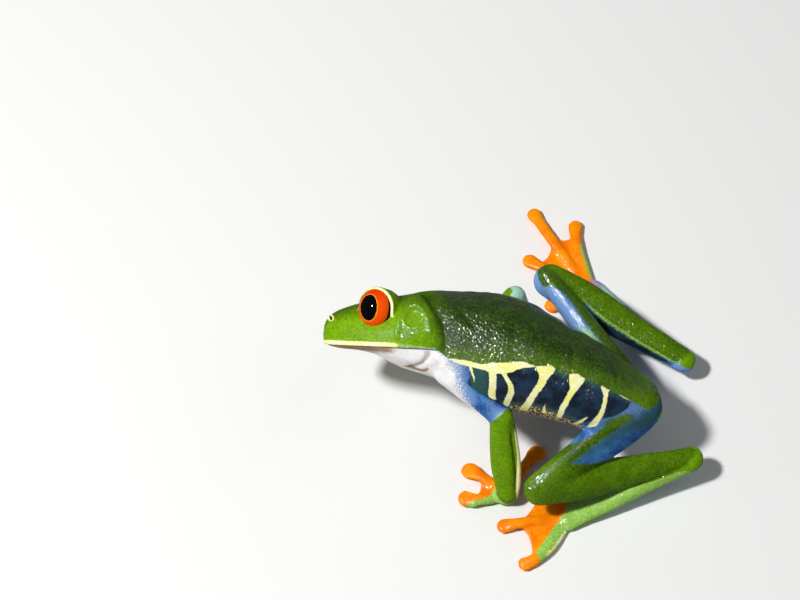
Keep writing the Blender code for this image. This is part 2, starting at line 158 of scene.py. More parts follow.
body_rows = smooth_rows(BODY_SECTIONS, 6)
add_flesh("body",
          sections_at(in_side_view(body_rows[:, 0], body_rows[:, 1]), leftward(body_rows[:, 5]),
                      dorsal(body_rows[:, 5]), body_rows[:, 4], body_rows[:, 2], body_rows[:, 3], 96,
                      BODY_SQUARENESS),
          in_side_view(*SNOUT_TIP), in_side_view(*VENT_TIP))
fine_body_rows = smooth_rows(BODY_SECTIONS, 40)


def body_rows_at(x):
    return (np.interp(x, fine_body_rows[:, 0], fine_body_rows[:, k]) for k in range(1, 6))


def on_body(points):
    """The x of places near the trunk and their angle round it: 0 is the left, 90 the back, 180 the right."""
    height, up, down, wide, lean = body_rows_at(points[:, 0])
    off = points - in_side_view(points[:, 0], height)
    a = (off * leftward(lean)).sum(1) / wide
    s = (off * dorsal(lean)).sum(1)
    s = s / np.where(s > 0, up, down)
    power = BODY_SQUARENESS / 2
    return points[:, 0], np.degrees(np.arctan2(signed_power(s, power), signed_power(a, power)))


def body_point(x, angle):
    """The place on the trunk at x and an angle round it."""
    height, up, down, wide, lean = body_rows_at(x)
    turn = np.radians(angle)
    a = wide * signed_power(np.cos(turn), 2 / BODY_SQUARENESS)
    s = signed_power(np.sin(turn), 2 / BODY_SQUARENESS)
    s = s * np.where(s > 0, up, down)
    return in_side_view(x, height) + a[..., None] * leftward(lean) + s[..., None] * dorsal(lean)


# Orbits, lids and nostrils.
# Domes of the same skin on both sides of the head, which hold the eyes; the lid's rim follows a circle round
# the eyeball. The nostrils are two small bumps at the corners of the snout.
EYE_CENTRE = (-22.8, 8.4, 5.4)
EYE_RADIUS = 2.95
GAZE_FORWARD = 32.0
GAZE_UP = 0.5
ORBIT_CENTRE = (-22.0, 8.2, 4.3)
ORBIT_RADII = (3.25, 3.1, 3.6)
LID_ANGLE = 80.0
LOWER_LID_DROP = 9.0
LID_THICKNESS = 0.34
NOSTRIL = (-30.1, 6.7, 2.55)
NOSTRIL_BUMP = 0.62


def look_direction(sign, forward, upward):
    """A direction from the eye, by degrees forward of straight sideways and up; sign is 1 on the left."""
    forward, upward = math.radians(forward), math.radians(upward)
    flat = FORWARD * math.sin(forward) + sign * leftward(HEAD_LEAN) * math.cos(forward)
    return unit(flat * math.cos(upward) + dorsal(HEAD_LEAN) * math.sin(upward))


def add_ball(name, centre, radii, sides=48, rows=24):
    tilt = np.linspace(-np.pi / 2, np.pi / 2, rows + 1)[1:-1]
    radii = np.array(radii, dtype=float)
    flat = sections_at(centre + np.sin(tilt)[:, None] * radii[2] * UP, np.tile((1.0, 0, 0), (rows - 1, 1)),
                       np.tile((0, 1.0, 0), (rows - 1, 1)), radii[0] * np.cos(tilt), radii[1] * np.cos(tilt),
                       radii[1] * np.cos(tilt), sides)
    add_flesh(name, flat, centre - radii[2] * UP, centre + radii[2] * UP)


eyes = {}
for side, sign in SIDES.items():
    eyes[side] = in_side_view(EYE_CENTRE[0], EYE_CENTRE[1], sign * EYE_CENTRE[2])
    add_ball("orbit", in_side_view(ORBIT_CENTRE[0], ORBIT_CENTRE[1], sign * ORBIT_CENTRE[2]), ORBIT_RADII)
    add_ball("lid", eyes[side], (EYE_RADIUS + LID_THICKNESS,) * 3)
    add_ball("nostril", in_side_view(NOSTRIL[0], NOSTRIL[1], sign * NOSTRIL[2]), (NOSTRIL_BUMP,) * 3, 24, 12)

# Arms and legs.
# Slender limbs folded as the frog stands: round upper arms, flat forearms, and thighs and shanks laid close
# together. Each segment is a smooth form between two joints, in the plane in which its limb folds.
JOINTS = {
    "left": {
        "shoulder": (-11.3, -3.9, 19.0),
        "elbow": (-3.0, -9.9, 14.0),
        "wrist": (-1.8, -17.0, 2.6),
        "palm": (-2.1, -16.4, 1.0),
        "hip": (19.2, -7.8, 13.3),
        "knee": (3.2, -19.0, 7.5),
        "heel": (27.5, -12.4, 5.0),
        "ankle": (13.7, -18.9, 1.9),
        "toe_root": (7.8, -20.8, 0.85),
    },
    "right": {
        "shoulder": (-9.8, 4.3, 11.1),
        "elbow": (-0.7, 11.6, 15.5),
        "wrist": (0.7, 11.8, 2.6),
        "palm": (0.4, 12.3, 1.0),
        "hip": (18.2, -1.2, 8.3),
        "knee": (5.5, 17.4, 10.8),
        "heel": (27.2, 6.3, 4.0),
        "ankle": (17.4, 16.7, 1.9),
        "toe_root": (12.8, 21.3, 0.85),
    },
}
# share of the length, half width in the plane of the fold, half thickness across it
SEGMENTS = {
    "upper_arm": ("shoulder", "elbow", ((0, 2.7, 2.3), (0.35, 2.3, 2.0), (0.75, 1.75, 1.65), (1, 1.9, 1.8))),
    "forearm": ("elbow", "wrist", ((0, 1.95, 1.8), (0.3, 2.3, 2.0), (0.65, 2.45, 2.0), (1, 1.9, 1.6))),
    "thigh": ("hip", "knee", ((0, 3.6, 2.5), (0.25, 3.7, 2.4), (0.6, 3.0, 2.1), (1, 2.8, 1.9))),
    "shank": ("knee", "heel",
              ((0, 2.8, 1.9), (0.25, 3.2, 1.9), (0.5, 2.75, 1.8), (0.8, 2.2, 1.7), (1, 1.9, 1.6))),
    "tarsus": ("heel", "ankle", ((0, 2.15, 1.6), (0.5, 1.75, 1.3), (1, 1.6, 1.1))),
}
FOLDS = {"arm": ("shoulder", "elbow", "wrist"), "leg": ("hip", "knee", "heel")}
LIMB_OF = {"upper_arm": "arm", "forearm": "arm", "thigh": "leg", "shank": "leg"}
SECTION_TURN = {"left": {"arm": 0, "leg": 0}, "right": {"arm": 0, "leg": 45}}


def limb_place(limb, share):
    """The middle line of a limb or digit, which may arch upwards and bow sideways."""
    share = np.asarray(share, dtype=float)[..., None]
    bend = 27 / 4 * np.maximum(share * share * (1 - share), 0)
    return (limb["start"] + limb["axis"] * share * limb["length"]
            + (UP * limb["lift"] + limb["across"] * limb["bow"]) * bend)


def add_limb(name, start, end, sections, fold_normal, sides, lift=0.0, bow=0.0):
    """A limb or digit with rounded ends."""
    start, end = np.array(start, dtype=float), np.array(end, dtype=float)
    axis = unit(end - start)
    across = unit(np.cross(fold_normal, axis))
    rows = smooth_rows(sections, 8)
    limb = {"start": start, "axis": axis, "length": np.linalg.norm(end - start), "across": across,
            "thick": np.cross(axis, across), "rows": rows, "lift": lift, "bow": bow}
    turns = np.radians((15, 30, 45, 60, 75))
    centres = [start - axis * rows[0, 1] * np.sin(turns[::-1])[:, None], limb_place(limb, rows[:, 0]),
               end + axis * rows[-1, 1] * np.sin(turns)[:, None]]
    wide, deep = (np.concatenate([rows[0, k] * np.cos(turns[::-1]), rows[:, k], rows[-1, k] * np.cos(turns)])
                  for k in (1, 2))
    centres = np.concatenate(centres)
    count = len(centres)
    rings = sections_at(centres, np.tile(across, (count, 1)), np.tile(limb["thick"], (count, 1)),
                        wide, deep, deep, sides)
    add_flesh(name, rings, start - axis * rows[0, 1], end + axis * rows[-1, 1], limb)
    return limb


def on_limb(points, limb):
    """Share of the length, angle from across towards thick in degrees, and distance sideways."""
    share = (points - limb["start"]) @ limb["axis"] / limb["length"]
    held = np.clip(share, 0, 1)
    off = points - limb_place(limb, held)
    wide, deep = (np.interp(held, limb["rows"][:, 0], limb["rows"][:, k]) for k in (1, 2))
    a, t = off @ limb["across"], off @ limb["thick"]
    return share, np.degrees(np.arctan2(t / deep, a / wide)), a


for side, joints in JOINTS.items():
    place = {name: np.array(point) for name, point in joints.items()}
    for name, (start, end, sections) in SEGMENTS.items():
        normal = UP
        if name != "tarsus":
            root, middle, tip = (place[joint] for joint in FOLDS[LIMB_OF[name]])
            normal = unit(np.cross(root - middle, tip - middle))
            turn = Matrix.Rotation(math.radians(SECTION_TURN[side][LIMB_OF[name]]), 3,
                                   (place[end] - place[start]).tolist())
            normal = np.array(turn) @ normal
        add_limb(f"{name}_{side}", place[start], place[end], sections, normal, 32)

# Hands and feet.
# Small palms and soles with four fingers and five toes, each a soft tube that ends in a round sticking pad
# and is joined to the next by a thin web. The undersides are flat where they stand on the floor.
PALM_RADII = (2.2, 2.2, 1.1)
SOLE_SECTIONS = ((0, 1.6, 1.1), (0.6, 1.9, 1.0), (1, 2.3, 0.95))
# x and y of each pad's middle, from the innermost digit outwards, and how far the digit bows to its left
FINGER_PADS = {
    "left": ((3.1, -9.1, 0.2), (-2.1, -9.4, 0.0), (-7.8, -12.3, 0.0), (-8.4, -17.3, 0.7)),
    "right": ((0.6, 5.2, 0.2), (-4.4, 6.6, 0.0), (-7.0, 12.2, 0.0), (-4.6, 17.4, -0.7)),
}
TOE_PADS = {
    "left": ((9.2, -15.4, -0.2), (5.2, -13.6, 0.2), (2.3, -15.3, -0.4), (-2.4, -22.2, 0.0),
             (0.9, -28.8, 1.0)),
    "right": ((10.8, 17.0, -0.2), (6.2, 18.6, 0.3), (2.7, 27.3, 0.3), (3.7, 36.4, 0.3), (10.6, 34.0, 0.6)),
}
FINGER_WIDTHS = (1.05, 0.95, 1.48)
TOE_WIDTHS = (1.05, 0.95, 1.28)
DIGIT_HEIGHTS = (0.65, 0.56, 0.6)
OUTER_FRINGE = {"left": 1.25, "right": 1.05}
PAD_LENGTH = 2.2
DIGIT_ARCH = 0.5
PAD_HEIGHT = 0.5
WEB_HALF_THICKNESS = 0.27
WEB_HEIGHT = 0.65
WEB_HOLLOW = 0.22
# the digit that carries the web, the digit that it reaches to, and how far out it runs along the two
FINGER_WEBS = ((1, 2, 0.5, 0.45), (2, 3, 0.5, 0.45), (4, 3, 0.76, 0.74))
TOE_WEBS = {
    "left": ((1, 2, 0.6, 0.5), (2, 3, 0.7, 0.6), (3, 4, 0.85, 0.8), (5, 4, 0.86, 0.8)),
    "right": ((1, 2, 0.6, 0.5), (2, 3, 0.7, 0.6), (3, 4, 0.88, 0.71), (5, 4, 0.92, 0.71)),
}


def digit_sections(length, widths, fringe):
    root_width, shaft_width, pad_width = widths
    root_height, shaft_height, pad_height = DIGIT_HEIGHTS
    neck = 1 - PAD_LENGTH / length
    return (
        (0, root_width * fringe, root_height),
        (neck * 0.55, shaft_width * fringe, shaft_height),
        (neck, shaft_width, shaft_height),
        (1 - 0.4 * PAD_LENGTH / length, 0.88 * pad_width, pad_height),
        (1, pad_width, pad_height),
    )


def add_web(name, root, end, other_end, reach, other_reach):
    """A thin skin between two digits, hollowed at its free edge."""
    near = root + (end - root) * reach
    far = root + (other_end - root) * other_reach
    middle = (near + far) / 2
    middle = middle + (root - middle) * WEB_HOLLOW
    t = np.linspace(0, 1, 15)[:, None]
    edge = near * (1 - t) ** 2 + middle * 2 * t * (1 - t) + far * t ** 2
    outline = np.concatenate([root[None], edge])
    outline[:, 2] = WEB_HEIGHT
    count = len(outline)
    shift = WEB_HALF_THICKNESS * UP
    points = np.concatenate([outline - shift, outline + shift])
    faces = [tuple(range(count)), tuple(range(count, 2 * count))]
    faces += [(i, (i + 1) % count, (i + 1) % count + count, i + count) for i in range(count)]
    flesh.append({"name": name, "points": points, "faces": faces, "limb": None})


def add_digits(kind, side, root, pads, widths, webs):
    root = np.array((root[0], root[1], PAD_HEIGHT))
    ends = [np.array((x, y, PAD_HEIGHT)) for x, y, bow in pads]
    for i, (end, (x, y, bow)) in enumerate(zip(ends, pads)):
        fringe = OUTER_FRINGE[side] if i == len(pads) - 1 else 1
        sections = digit_sections(np.linalg.norm(end - root), widths, fringe)
        add_limb(f"{kind}_{side}_{i + 1}", root, end, sections, UP, 28, DIGIT_ARCH, bow)
    for carrier, other, reach, other_reach in webs:
        add_web(f"{kind}_web_{side}", root, ends[carrier - 1], ends[other - 1], reach, other_reach)


for side, joints in JOINTS.items():
    add_ball(f"palm_{side}", np.array(joints["palm"]), PALM_RADII)
    add_limb(f"sole_{side}", joints["ankle"], joints["toe_root"], SOLE_SECTIONS, UP, 32)
    add_digits("finger", side, joints["palm"], FINGER_PADS[side], FINGER_WIDTHS, FINGER_WEBS)
    add_digits("toe", side, joints["toe_root"], TOE_PADS[side], TOE_WIDTHS, TOE_WEBS[side])

# The skin.
# One seamless cover of thin, moist skin over the whole frog, drawn over the forms above like a cast, with
# soft fillets where limbs join.
SKIN_GRAIN = 0.225      # size of the skin's mesh squares
MOST_TRIANGLES = 190000
FILLETS = {
    ("body", "upper_arm"): 1.6, ("body", "thigh"): 1.5, ("body", "forearm"): 0.6, ("body", "orbit"): 1.3,
    ("body", "nostril"): 0.5, ("orbit", "lid"): 0.8, ("body", "lid"): 0.9, ("upper_arm", "forearm"): 0.9,
    ("forearm", "palm"): 1.0, ("forearm", "finger"): 0.7, ("palm", "finger"): 0.6, ("finger", "web"): 0.5,
    ("palm", "web"): 0.5, ("thigh", "shank"): 0.5, ("shank", "tarsus"): 0.6, ("tarsus", "sole"): 0.8,
    ("sole", "toe"): 0.6, ("toe", "web"): 0.5, ("sole", "web"): 0.5, ("finger", "finger"): 0.6,
    ("toe", "toe"): 0.6,
}
EVENING = (0.5, -0.53)  # how far each point moves to its neighbours' mean, and back again
FILLET_ROUNDS = 0.88    # times the fillet's radius in mesh squares, squared
FULL_FILLET = 0.2       # the share of a fillet's radius, next to the join, where it is rounded in full
counts = [0] + list(np.cumsum([len(piece["points"]) for piece in flesh]))
all_points = np.concatenate([piece["points"] for piece in flesh])
all_faces = []
face_owner = []
for number, piece in enumerate(flesh):
    all_faces += [tuple(i + counts[number] for i in face) for face in piece["faces"]]
    face_owner += [number] * len(piece["faces"])
source_mesh = bpy.data.meshes.new("skin_form")
source_mesh.from_pydata(all_points.tolist(), [], all_faces)
source = bpy.data.objects.new("skin_form", source_mesh)
bpy.context.scene.collection.objects.link(source)
cover = source.modifiers.new("cover", "REMESH")
cover.mode = "VOXEL"
cover.voxel_size = SKIN_GRAIN
cover.adaptivity = 0
graph = bpy.context.evaluated_depsgraph_get()
skin_mesh = bpy.data.meshes.new_from_object(source.evaluated_get(graph))
bpy.data.objects.remove(source)


def rows_of(items, field, columns, number_kind=float):
    values = np.empty(len(items) * columns, dtype=number_kind)
    items.foreach_get(field, values)
    return values.reshape(-1, columns)


points = rows_of(skin_mesh.vertices, "co", 3)
edges = rows_of(skin_mesh.edges, "vertices", 2, int)
quads = rows_of(skin_mesh.polygons, "vertices", 4, int)
skin_count = len(points)


def sum_over_neighbours(values):
    columns = values.reshape(skin_count, -1)
    total = np.empty_like(columns)
    for k in range(columns.shape[1]):
        total[:, k] = (np.bincount(edges[:, 0], columns[edges[:, 1], k], skin_count)
                       + np.bincount(edges[:, 1], columns[edges[:, 0], k], skin_count))
    return total.reshape(values.shape)


neighbour_count = sum_over_neighbours(np.ones(skin_count))


def away_from_mean(values):
    """How far each value's neighbours' mean lies from it."""
    count = neighbour_count if values.ndim == 1 else neighbour_count[:, None]
    return sum_over_neighbours(values) / count - values


def skin_normals():
    normal = np.cross(points[quads[:, 2]] - points[quads[:, 0]], points[quads[:, 3]] - points[quads[:, 1]])
    total = np.zeros_like(points)
    for k in range(3):
        for corner in range(4):
            total[:, k] += np.bincount(quads[:, corner], normal[:, k], skin_count)
    return unit(total + 1e-12)


def evened(places, rounds):
    """The skin's points with the small steps taken out, without shrinking it."""
    for number in range(rounds):
        for share in EVENING:
            places = places + share * away_from_mean(places)
    return places


points = evened(points, 6)

tree = BVHTree.FromPolygons(all_points.tolist(), all_faces)
owner = np.array([face_owner[tree.find_nearest(point)[2]] for point in points.tolist()])
kind_of = [piece["name"].split("_")[0] if "_web_" not in piece["name"] else "web" for piece in flesh]
kind_of = ["upper_arm" if kind == "upper" else kind for kind in kind_of]
kinds = sorted(set(kind_of))
kind = np.array([kinds.index(name) for name in kind_of])[owner]


def spread_from(seeds, reach):
    """Steps along the skin's squares from the seeds, as millimetres, up to a reach."""
    distance = np.where(seeds, 0.0, np.inf)
    for step in range(int(reach / SKIN_GRAIN) + 1):
        near = np.full(skin_count, np.inf)
        np.minimum.at(near, edges[:, 0], distance[edges[:, 1]])
        np.minimum.at(near, edges[:, 1], distance[edges[:, 0]])
        distance = np.minimum(distance, near + SKIN_GRAIN)
    return distance


near_kind, far_kind = kind[edges[:, 0]], kind[edges[:, 1]]
near_owner, far_owner = owner[edges[:, 0]], owner[edges[:, 1]]
by_radius = {}
for (first, second), radius in FILLETS.items():
    a, b = kinds.index(first), kinds.index(second)
    across = ((near_kind == a) & (far_kind == b)) | ((near_kind == b) & (far_kind == a))
    across &= near_owner != far_owner
    seeds = by_radius.setdefault(radius, np.zeros(skin_count, dtype=bool))
    seeds[edges[across].ravel()] = True
fillet = np.zeros(skin_count)
rounds = np.zeros(skin_count)
for radius, seeds in by_radius.items():
    reach = spread_from(seeds, radius)
    weight = np.clip((1 - reach / radius) / (1 - FULL_FILLET), 0, 1)
    rounds = np.maximum(rounds, np.where(weight > 0, FILLET_ROUNDS * (radius / SKIN_GRAIN) ** 2, 0))
    fillet = np.maximum(fillet, weight)
for number in range(int(rounds.max())):
    if number % 10 == 0:
        normals = skin_normals()
    move = 0.5 * (fillet * (rounds > number))[:, None] * away_from_mean(points)
    outward = (move * normals).sum(1)
    points += move + normals * (np.maximum(outward, 0) - outward)[:, None]
points = evened(points, 3)

# Lids.
# Thin lids of the same skin: it is drawn in under each eyeball inside the rim, and stands proud just behind
# it. The opening reaches a little further down than up.
LID_REACH = (0.5, 0.85)     # how far off the eyeball the skin is drawn in fully, and where that ends
LOWER_LID_REACH = 0.5       # further off than that at the bottom
RIM_STAND = 0.3             # of the lid's edge, off the eyeball
LID_TUCK = 0.75             # of the skin inside the edge, from there into the eyeball
LID_PUFF = 0.26
LID_PUFF_BEHIND = 0.1
PUFF_WIDTH = 12             # degrees outside the edge

off_middle = (points - BODY_HEIGHT * UP) @ leftward(HEAD_LEAN)
lid_place = np.zeros((skin_count, 3))
for side, sign in SIDES.items():
    gaze = look_direction(sign, GAZE_FORWARD, GAZE_UP)
    off = points - eyes[side]
    reach = np.linalg.norm(off, axis=1)
    angle = np.degrees(np.arccos(np.clip(off @ gaze / reach, -1, 1)))
    eye_up = unit(dorsal(HEAD_LEAN) - gaze * (dorsal(HEAD_LEAN) @ gaze))
    eye_side = np.cross(eye_up, gaze) * sign
    low = smooth_step(-(off @ eye_up) / reach, 0.2, 0.8)
    opening = LID_ANGLE + LOWER_LID_DROP * low
    near, far = (EYE_RADIUS + limit + LOWER_LID_REACH * low for limit in LID_REACH)
    close = smooth_step(-reach, -far, -near)
    places = np.stack([off @ gaze, off @ eye_up, off @ eye_side], axis=1)
    lid_place = np.where((sign * off_middle > 0)[:, None], places, lid_place)
    sunk = smooth_step(opening - angle, -1.0, 4.0)
    drawn = np.minimum(reach, EYE_RADIUS + RIM_STAND - LID_TUCK * sunk)
    puffed = np.maximum(reach, EYE_RADIUS + LID_PUFF + LID_PUFF_BEHIND * smooth_step(angle - opening, 0, 8))
    held = np.where(angle < opening + 1.0, reach + (drawn - reach) * close,
                    np.where(angle < opening + PUFF_WIDTH, puffed, reach))
    points = eyes[side] + off / reach[:, None] * held[:, None]

# Mouth, folds, eardrums and nostrils.
# A closed mouth under a soft lip, the crease behind the head, the fold round each eardrum, loose folds at the
# throat and faint creases along the back, all worked into the skin as small lifts and grooves.
MOUTH_FRONT = (-31.3, 2.45)
MOUTH_CORNER = (-14.0, 1.85)
LIP_ROLL = 0.14
MOUTH_GROOVE = 0.3
JAW_SETBACK = 0.28
kind_named = {name: kinds.index(name) for name in kinds}
is_body = kind == kind_named["body"]
is_head = is_body | np.isin(kind, [kind_named[name] for name in ("orbit", "lid", "nostril")])
body_x, body_angle = on_body(points)
left_angle = np.where(body_angle > 90, 180 - body_angle, body_angle)
left_angle = np.where(body_angle < -90, -180 - body_angle, left_angle)
body_index = np.nonzero(is_body)[0]
mirrored = body_point(body_x[body_index], left_angle[body_index])


FAR_OFF = 9.0


def from_curve(rows, steps=6):
    """For the trunk's points, on both sides alike: the half width of a curved stripe less the distance from
    its middle line. Rows are x, angle round the trunk and, for a stripe, its half width."""
    line = smooth_rows(rows, steps)
    half_width = line[:, 2] if line.shape[1] > 2 else np.zeros(len(line))
    path = body_point(line[:, 0], line[:, 1])
    near = np.nonzero(((mirrored > path.min(0) - 4) & (mirrored < path.max(0) + 4)).all(1))[0]
    result = np.full(skin_count, -FAR_OFF)
    start, step = path[:-1], path[1:] - path[:-1]
    off = mirrored[near][:, None, :] - start[None]
    share = np.clip((off * step).sum(2) / (step ** 2).sum(1), 0, 1)
    gap = np.linalg.norm(off - share[..., None] * step, axis=2)
    wide = half_width[:-1] + share * (half_width[1:] - half_width[:-1])
    result[body_index[near]] = np.maximum((wide - gap).max(1), -FAR_OFF)
    return result


def above_line(rows):
    """For the trunk's points: how far they lie above a line along the flank, as seen from the back."""
    line = smooth_rows(rows, 8)
    gap = from_curve(rows, 8)
    return np.where(left_angle > np.interp(body_x, line[:, 0], line[:, 1]), -gap, gap)


def ridge(distance, width):
    return np.exp(-(distance / width) ** 2)


along_mouth = in_side_view(*MOUTH_CORNER) - in_side_view(*MOUTH_FRONT)
above_mouth = unit(np.cross(along_mouth, leftward(HEAD_LEAN)))
above_mouth = above_mouth * np.sign(above_mouth @ dorsal(HEAD_LEAN))
above = (points - in_side_view(*MOUTH_CORNER)) @ above_mouth
lip_zone = is_head * smooth_step(-body_x, 13.2, 14.6) * (np.abs(above) < 3)
lift = lip_zone * (LIP_ROLL * smooth_step(above, 0.0, 0.2) * smooth_step(-above, -1.2, -0.6)
                   - MOUTH_GROOVE * ridge(above + 0.1, 0.17)
                   - JAW_SETBACK * smooth_step(-above, 0.1, 0.5) * smooth_step(above, -2.4, -0.6))
NECK_CREASE = ((-14.8, 70), (-14.6, 62), (-13.6, 42), (-12.5, 26), (-11.9, 15), (-11.6, 2))
EARDRUM_FOLD = ((-19.7, 4), (-19.6, 16), (-19.2, 30), (-18.4, 44), (-17.1, 47), (-15.9, 40), (-15.0, 26),
                (-14.5, 9))
EARDRUM = ((-17.25, 25), (-17.2, 26), (-17.15, 27))
EARDRUM_RADIUS = 1.45
THROAT_FOLDS = (((-17.6, -58), (-16, -43), (-15.3, -33), (-14.5, -20)),
                ((-12.2, -62), (-11.6, -48), (-11.4, -34)))
BACK_CREASES = (((-9.3, 52), (-8.6, 47), (-8.0, 42)), ((1.6, 74), (2.2, 67), (2.6, 60)),
                ((8.1, 70), (8.0, 60), (7.8, 50)), ((14.6, 76), (15.2, 62), (15.0, 48)))
CREASE_DEPTHS = {"neck": 0.62, "throat": 0.42, "back": 0.24}
# direction and shift of the low swells in the back's skin
SWELLS = (((1.1, 0.7, -0.5), 0.3), ((-0.6, 1.3, 0.8), 1.9), ((1.9, -0.4, 1.1), 4.1), ((0.5, 2.1, -1.4), 2.6))
SWELL_HEIGHT = 0.05
crease = from_curve(NECK_CREASE)
lift -= CREASE_DEPTHS["neck"] * ridge(crease, 0.75) * smooth_step(-body_x, 11.2, 12.4)
lift += 0.14 * ridge(crease + 2.1, 1.0)
for fold in THROAT_FOLDS:
    lift -= CREASE_DEPTHS["throat"] * ridge(from_curve(fold), 0.55)
for fold in BACK_CREASES:
    lift -= CREASE_DEPTHS["back"] * ridge(from_curve(fold), 0.5)
ear_fold = ridge(from_curve(EARDRUM_FOLD), 0.36)
lift += 0.26 * ear_fold
eardrum = from_curve(EARDRUM)
lift += 0.13 * ridge(eardrum + EARDRUM_RADIUS, 0.26) - 0.16 * smooth_step(eardrum, 0.1 - EARDRUM_RADIUS, -0.9)
swells = sum(np.sin(points @ np.array(direction) + shift) for direction, shift in SWELLS)
lift += SWELL_HEIGHT * swells * smooth_step(body_x, -12, -6) * smooth_step(left_angle, 10, 40)
lift *= is_head
nostril_place = np.full((skin_count, 3), FAR_OFF)
for sign in SIDES.values():
    centre = in_side_view(NOSTRIL[0] - 0.1, NOSTRIL[1] + 0.05, sign * (NOSTRIL[2] + 0.45))
    off = points - centre
    slant = unit(dorsal(HEAD_LEAN) + 0.3 * FORWARD)
    outward = unit(np.cross(slant, FORWARD + 0.2 * sign * leftward(HEAD_LEAN)))
    places = np.stack([off @ np.cross(slant, outward), off @ slant, off @ outward], axis=1)
    nostril_place = np.where((sign * off_middle > 0)[:, None], places, nostril_place)
nostril_reach = np.linalg.norm(nostril_place, axis=1)
nostril_slit = np.linalg.norm(nostril_place * (1, 0.4, 1), axis=1)
lift += is_head * (0.1 * ridge(nostril_reach - 0.42, 0.16) - 0.3 * smooth_step(-nostril_slit, -0.3, -0.08))

# Markings of the trunk and head.
# A green back with a ragged lower border, cream bars over dark blue flanks, a pale throat and belly, and a
# cream lip. Each colour is kept on the skin as the distance in millimetres inside its edge.
MARKS = ("green", "mint", "cream", "rim", "white", "orange", "navy", "teal", "lavender", "pale", "grains",
         "lip_and_throat_shade")
UNMARKED = -3.0
marks = {name: np.full(skin_count, UNMARKED) for name in MARKS}


def on_trunk(values, where=True):
    """A marking's distances on the trunk alone, or on a part of it."""
    return np.where(is_body & where, values, UNMARKED)


BACK_BORDER = ((-14.3, -4), (-13.5, -7), (-12.7, -9), (-11.6, -9), (-10.4, -3), (-8.8, 2), (-7.5, 4),
               (-6.2, 6), (-5.1, 10), (-3.6, 14), (-2.1, 18), (-0.4, 25), (1.8, 25), (3.4, 30), (4.7, 35),
               (5.5, 32), (6.7, 31), (8.6, 38), (10.3, 35), (12.6, 34), (14.0, 31), (15.6, 30), (17.4, 28),
               (18.8, 22), (20.2, 8), (21.5, -30), (22.6, -60))
over_border = above_line(BACK_BORDER)
lip_top = np.interp(body_x, (-21, -18, -15, -13), (0.8, 0.62, 0.35, 0.1))
in_front = smooth_step(-body_x, 13.4, 14.6)
green = over_border * (1 - in_front) + (above - lip_top) * in_front
marks["green"] = np.where(is_head, np.where(is_body, green, -UNMARKED), UNMARKED)
lip_mint = np.minimum(above - 0.02, (body_x + 22.5) * 0.2)
marks["mint"] = on_trunk(lip_mint, body_x < -13)

CREAM_STRIPES = (
    ((-11.4, -8, 0.08), (-10.2, -4.5, 0.3), (-8.7, 0, 0.48), (-7.5, 2, 0.5), (-6.2, 4, 0.52),
     (-5.1, 5, 0.62)),
    ((-5.1, 5, 0.7), (-4.1, 7, 0.9), (-2.1, 13, 0.85), (-1.0, 17.5, 0.66), (0.2, 21.5, 0.5), (1.3, 24, 0.3),
     (2.2, 26, 0.12)),
    ((-4.75, 8, 0.75), (-4.6, -1, 0.58), (-4.6, -9, 0.56), (-4.7, -20, 0.58), (-4.5, -34, 0.6)),
    ((-3.5, 9, 0.3), (-2.5, 2, 0.33), (-1.8, -3, 0.4), (-1.7, -11, 0.48), (-2.2, -24, 0.52),
     (-2.7, -42, 0.5)),
    ((3.75, 31, 1.6), (3.65, 26, 1.2), (3.4, 18, 0.75), (2.9, 7, 0.58), (2.0, -3, 0.54), (1.3, -14, 0.56),
     (0.4, -33, 0.64)),
    ((8.8, 38, 1.35), (8.6, 32, 1.2), (8.35, 24, 0.85), (8.0, 16, 0.55), (7.5, 8, 0.46), (7.0, 0, 0.46),
     (6.4, -11, 0.46), (6.0, -28, 0.44)),
    ((13.2, 33, 0.75), (13.2, 28, 0.5), (13.2, 22, 0.36), (13.1, 13, 0.33), (12.8, 3, 0.36), (12.4, -5, 0.42),
     (11.7, -17, 0.56), (10.8, -38, 0.62)),
    ((15.5, 30, 0.06), (16.3, 29.5, 0.16), (17.2, 28.5, 0.05)),
    ((-8.2, 1, 0.32), (-8.0, -3, 0.2), (-7.6, -9, 0.13), (-7.5, -14, 0.05)),
    ((3.7, -12, 0.04), (3.6, -19, 0.18), (3.6, -27, 0.4)),
    ((10.4, -12, 0.08), (9.6, -21, 0.28), (8.6, -35, 0.35)),
)
for stripe in CREAM_STRIPES:
    marks["cream"] = np.maximum(marks["cream"], from_curve(stripe))
lip_cream = np.minimum(np.minimum(above - 0.04, 0.95 - above), (-19.6 - body_x) * 0.2)
marks["cream"] = np.where(is_body & (body_x < -14), lip_cream, marks["cream"])

BELLY_EDGE = ((-13.9, -8), (-11.2, -10), (-10.3, -22), (-9.2, -38), (-6, -42), (-2.8, -35), (-1.4, -31),
              (-0.1, -27), (1.1, -24), (3.6, -22), (5.5, -23), (7.6, -26), (9.6, -30), (11.4, -37),
              (14, -55), (18, -68), (22, -72))
LOW_THROAT_SHADE = ((-18.8, -62, 0), (-17.2, -61, 0.4), (-15.6, -57, 0.4), (-14.9, -47, 0.1))
underside = -above_line(BELLY_EDGE)
underside = np.where(body_x < -13.4, 0.05 - above, underside)
shoulder = smooth_step(body_x, -13.2, -11.8) * smooth_step(-body_x, 6.5, 8.5)
marks["white"] = on_trunk(underside * (1 - 0.7 * shoulder))
marks["grains"] = on_trunk((body_x + 7) * 0.5)
marks["navy"] = on_trunk(np.clip(body_x + 7.6 - 0.05 * left_angle, -3, 2))
marks["lavender"] = on_trunk(np.clip((-8.9 - body_x) * 0.5, -3, 1))
teal_edge = np.maximum(np.maximum(0.5 + over_border, (-4.9 - body_x) * 0.5), underside + 0.9)
marks["teal"] = on_trunk(teal_edge, body_x > -8)
# painted shade: brown under the lip and in the throat's folds
under_lip_shade = np.minimum(np.minimum(-0.02 - above, above + 1.0), (-20.3 - body_x) * 0.25)
marks["lip_and_throat_shade"] = on_trunk(under_lip_shade, body_x < -12)
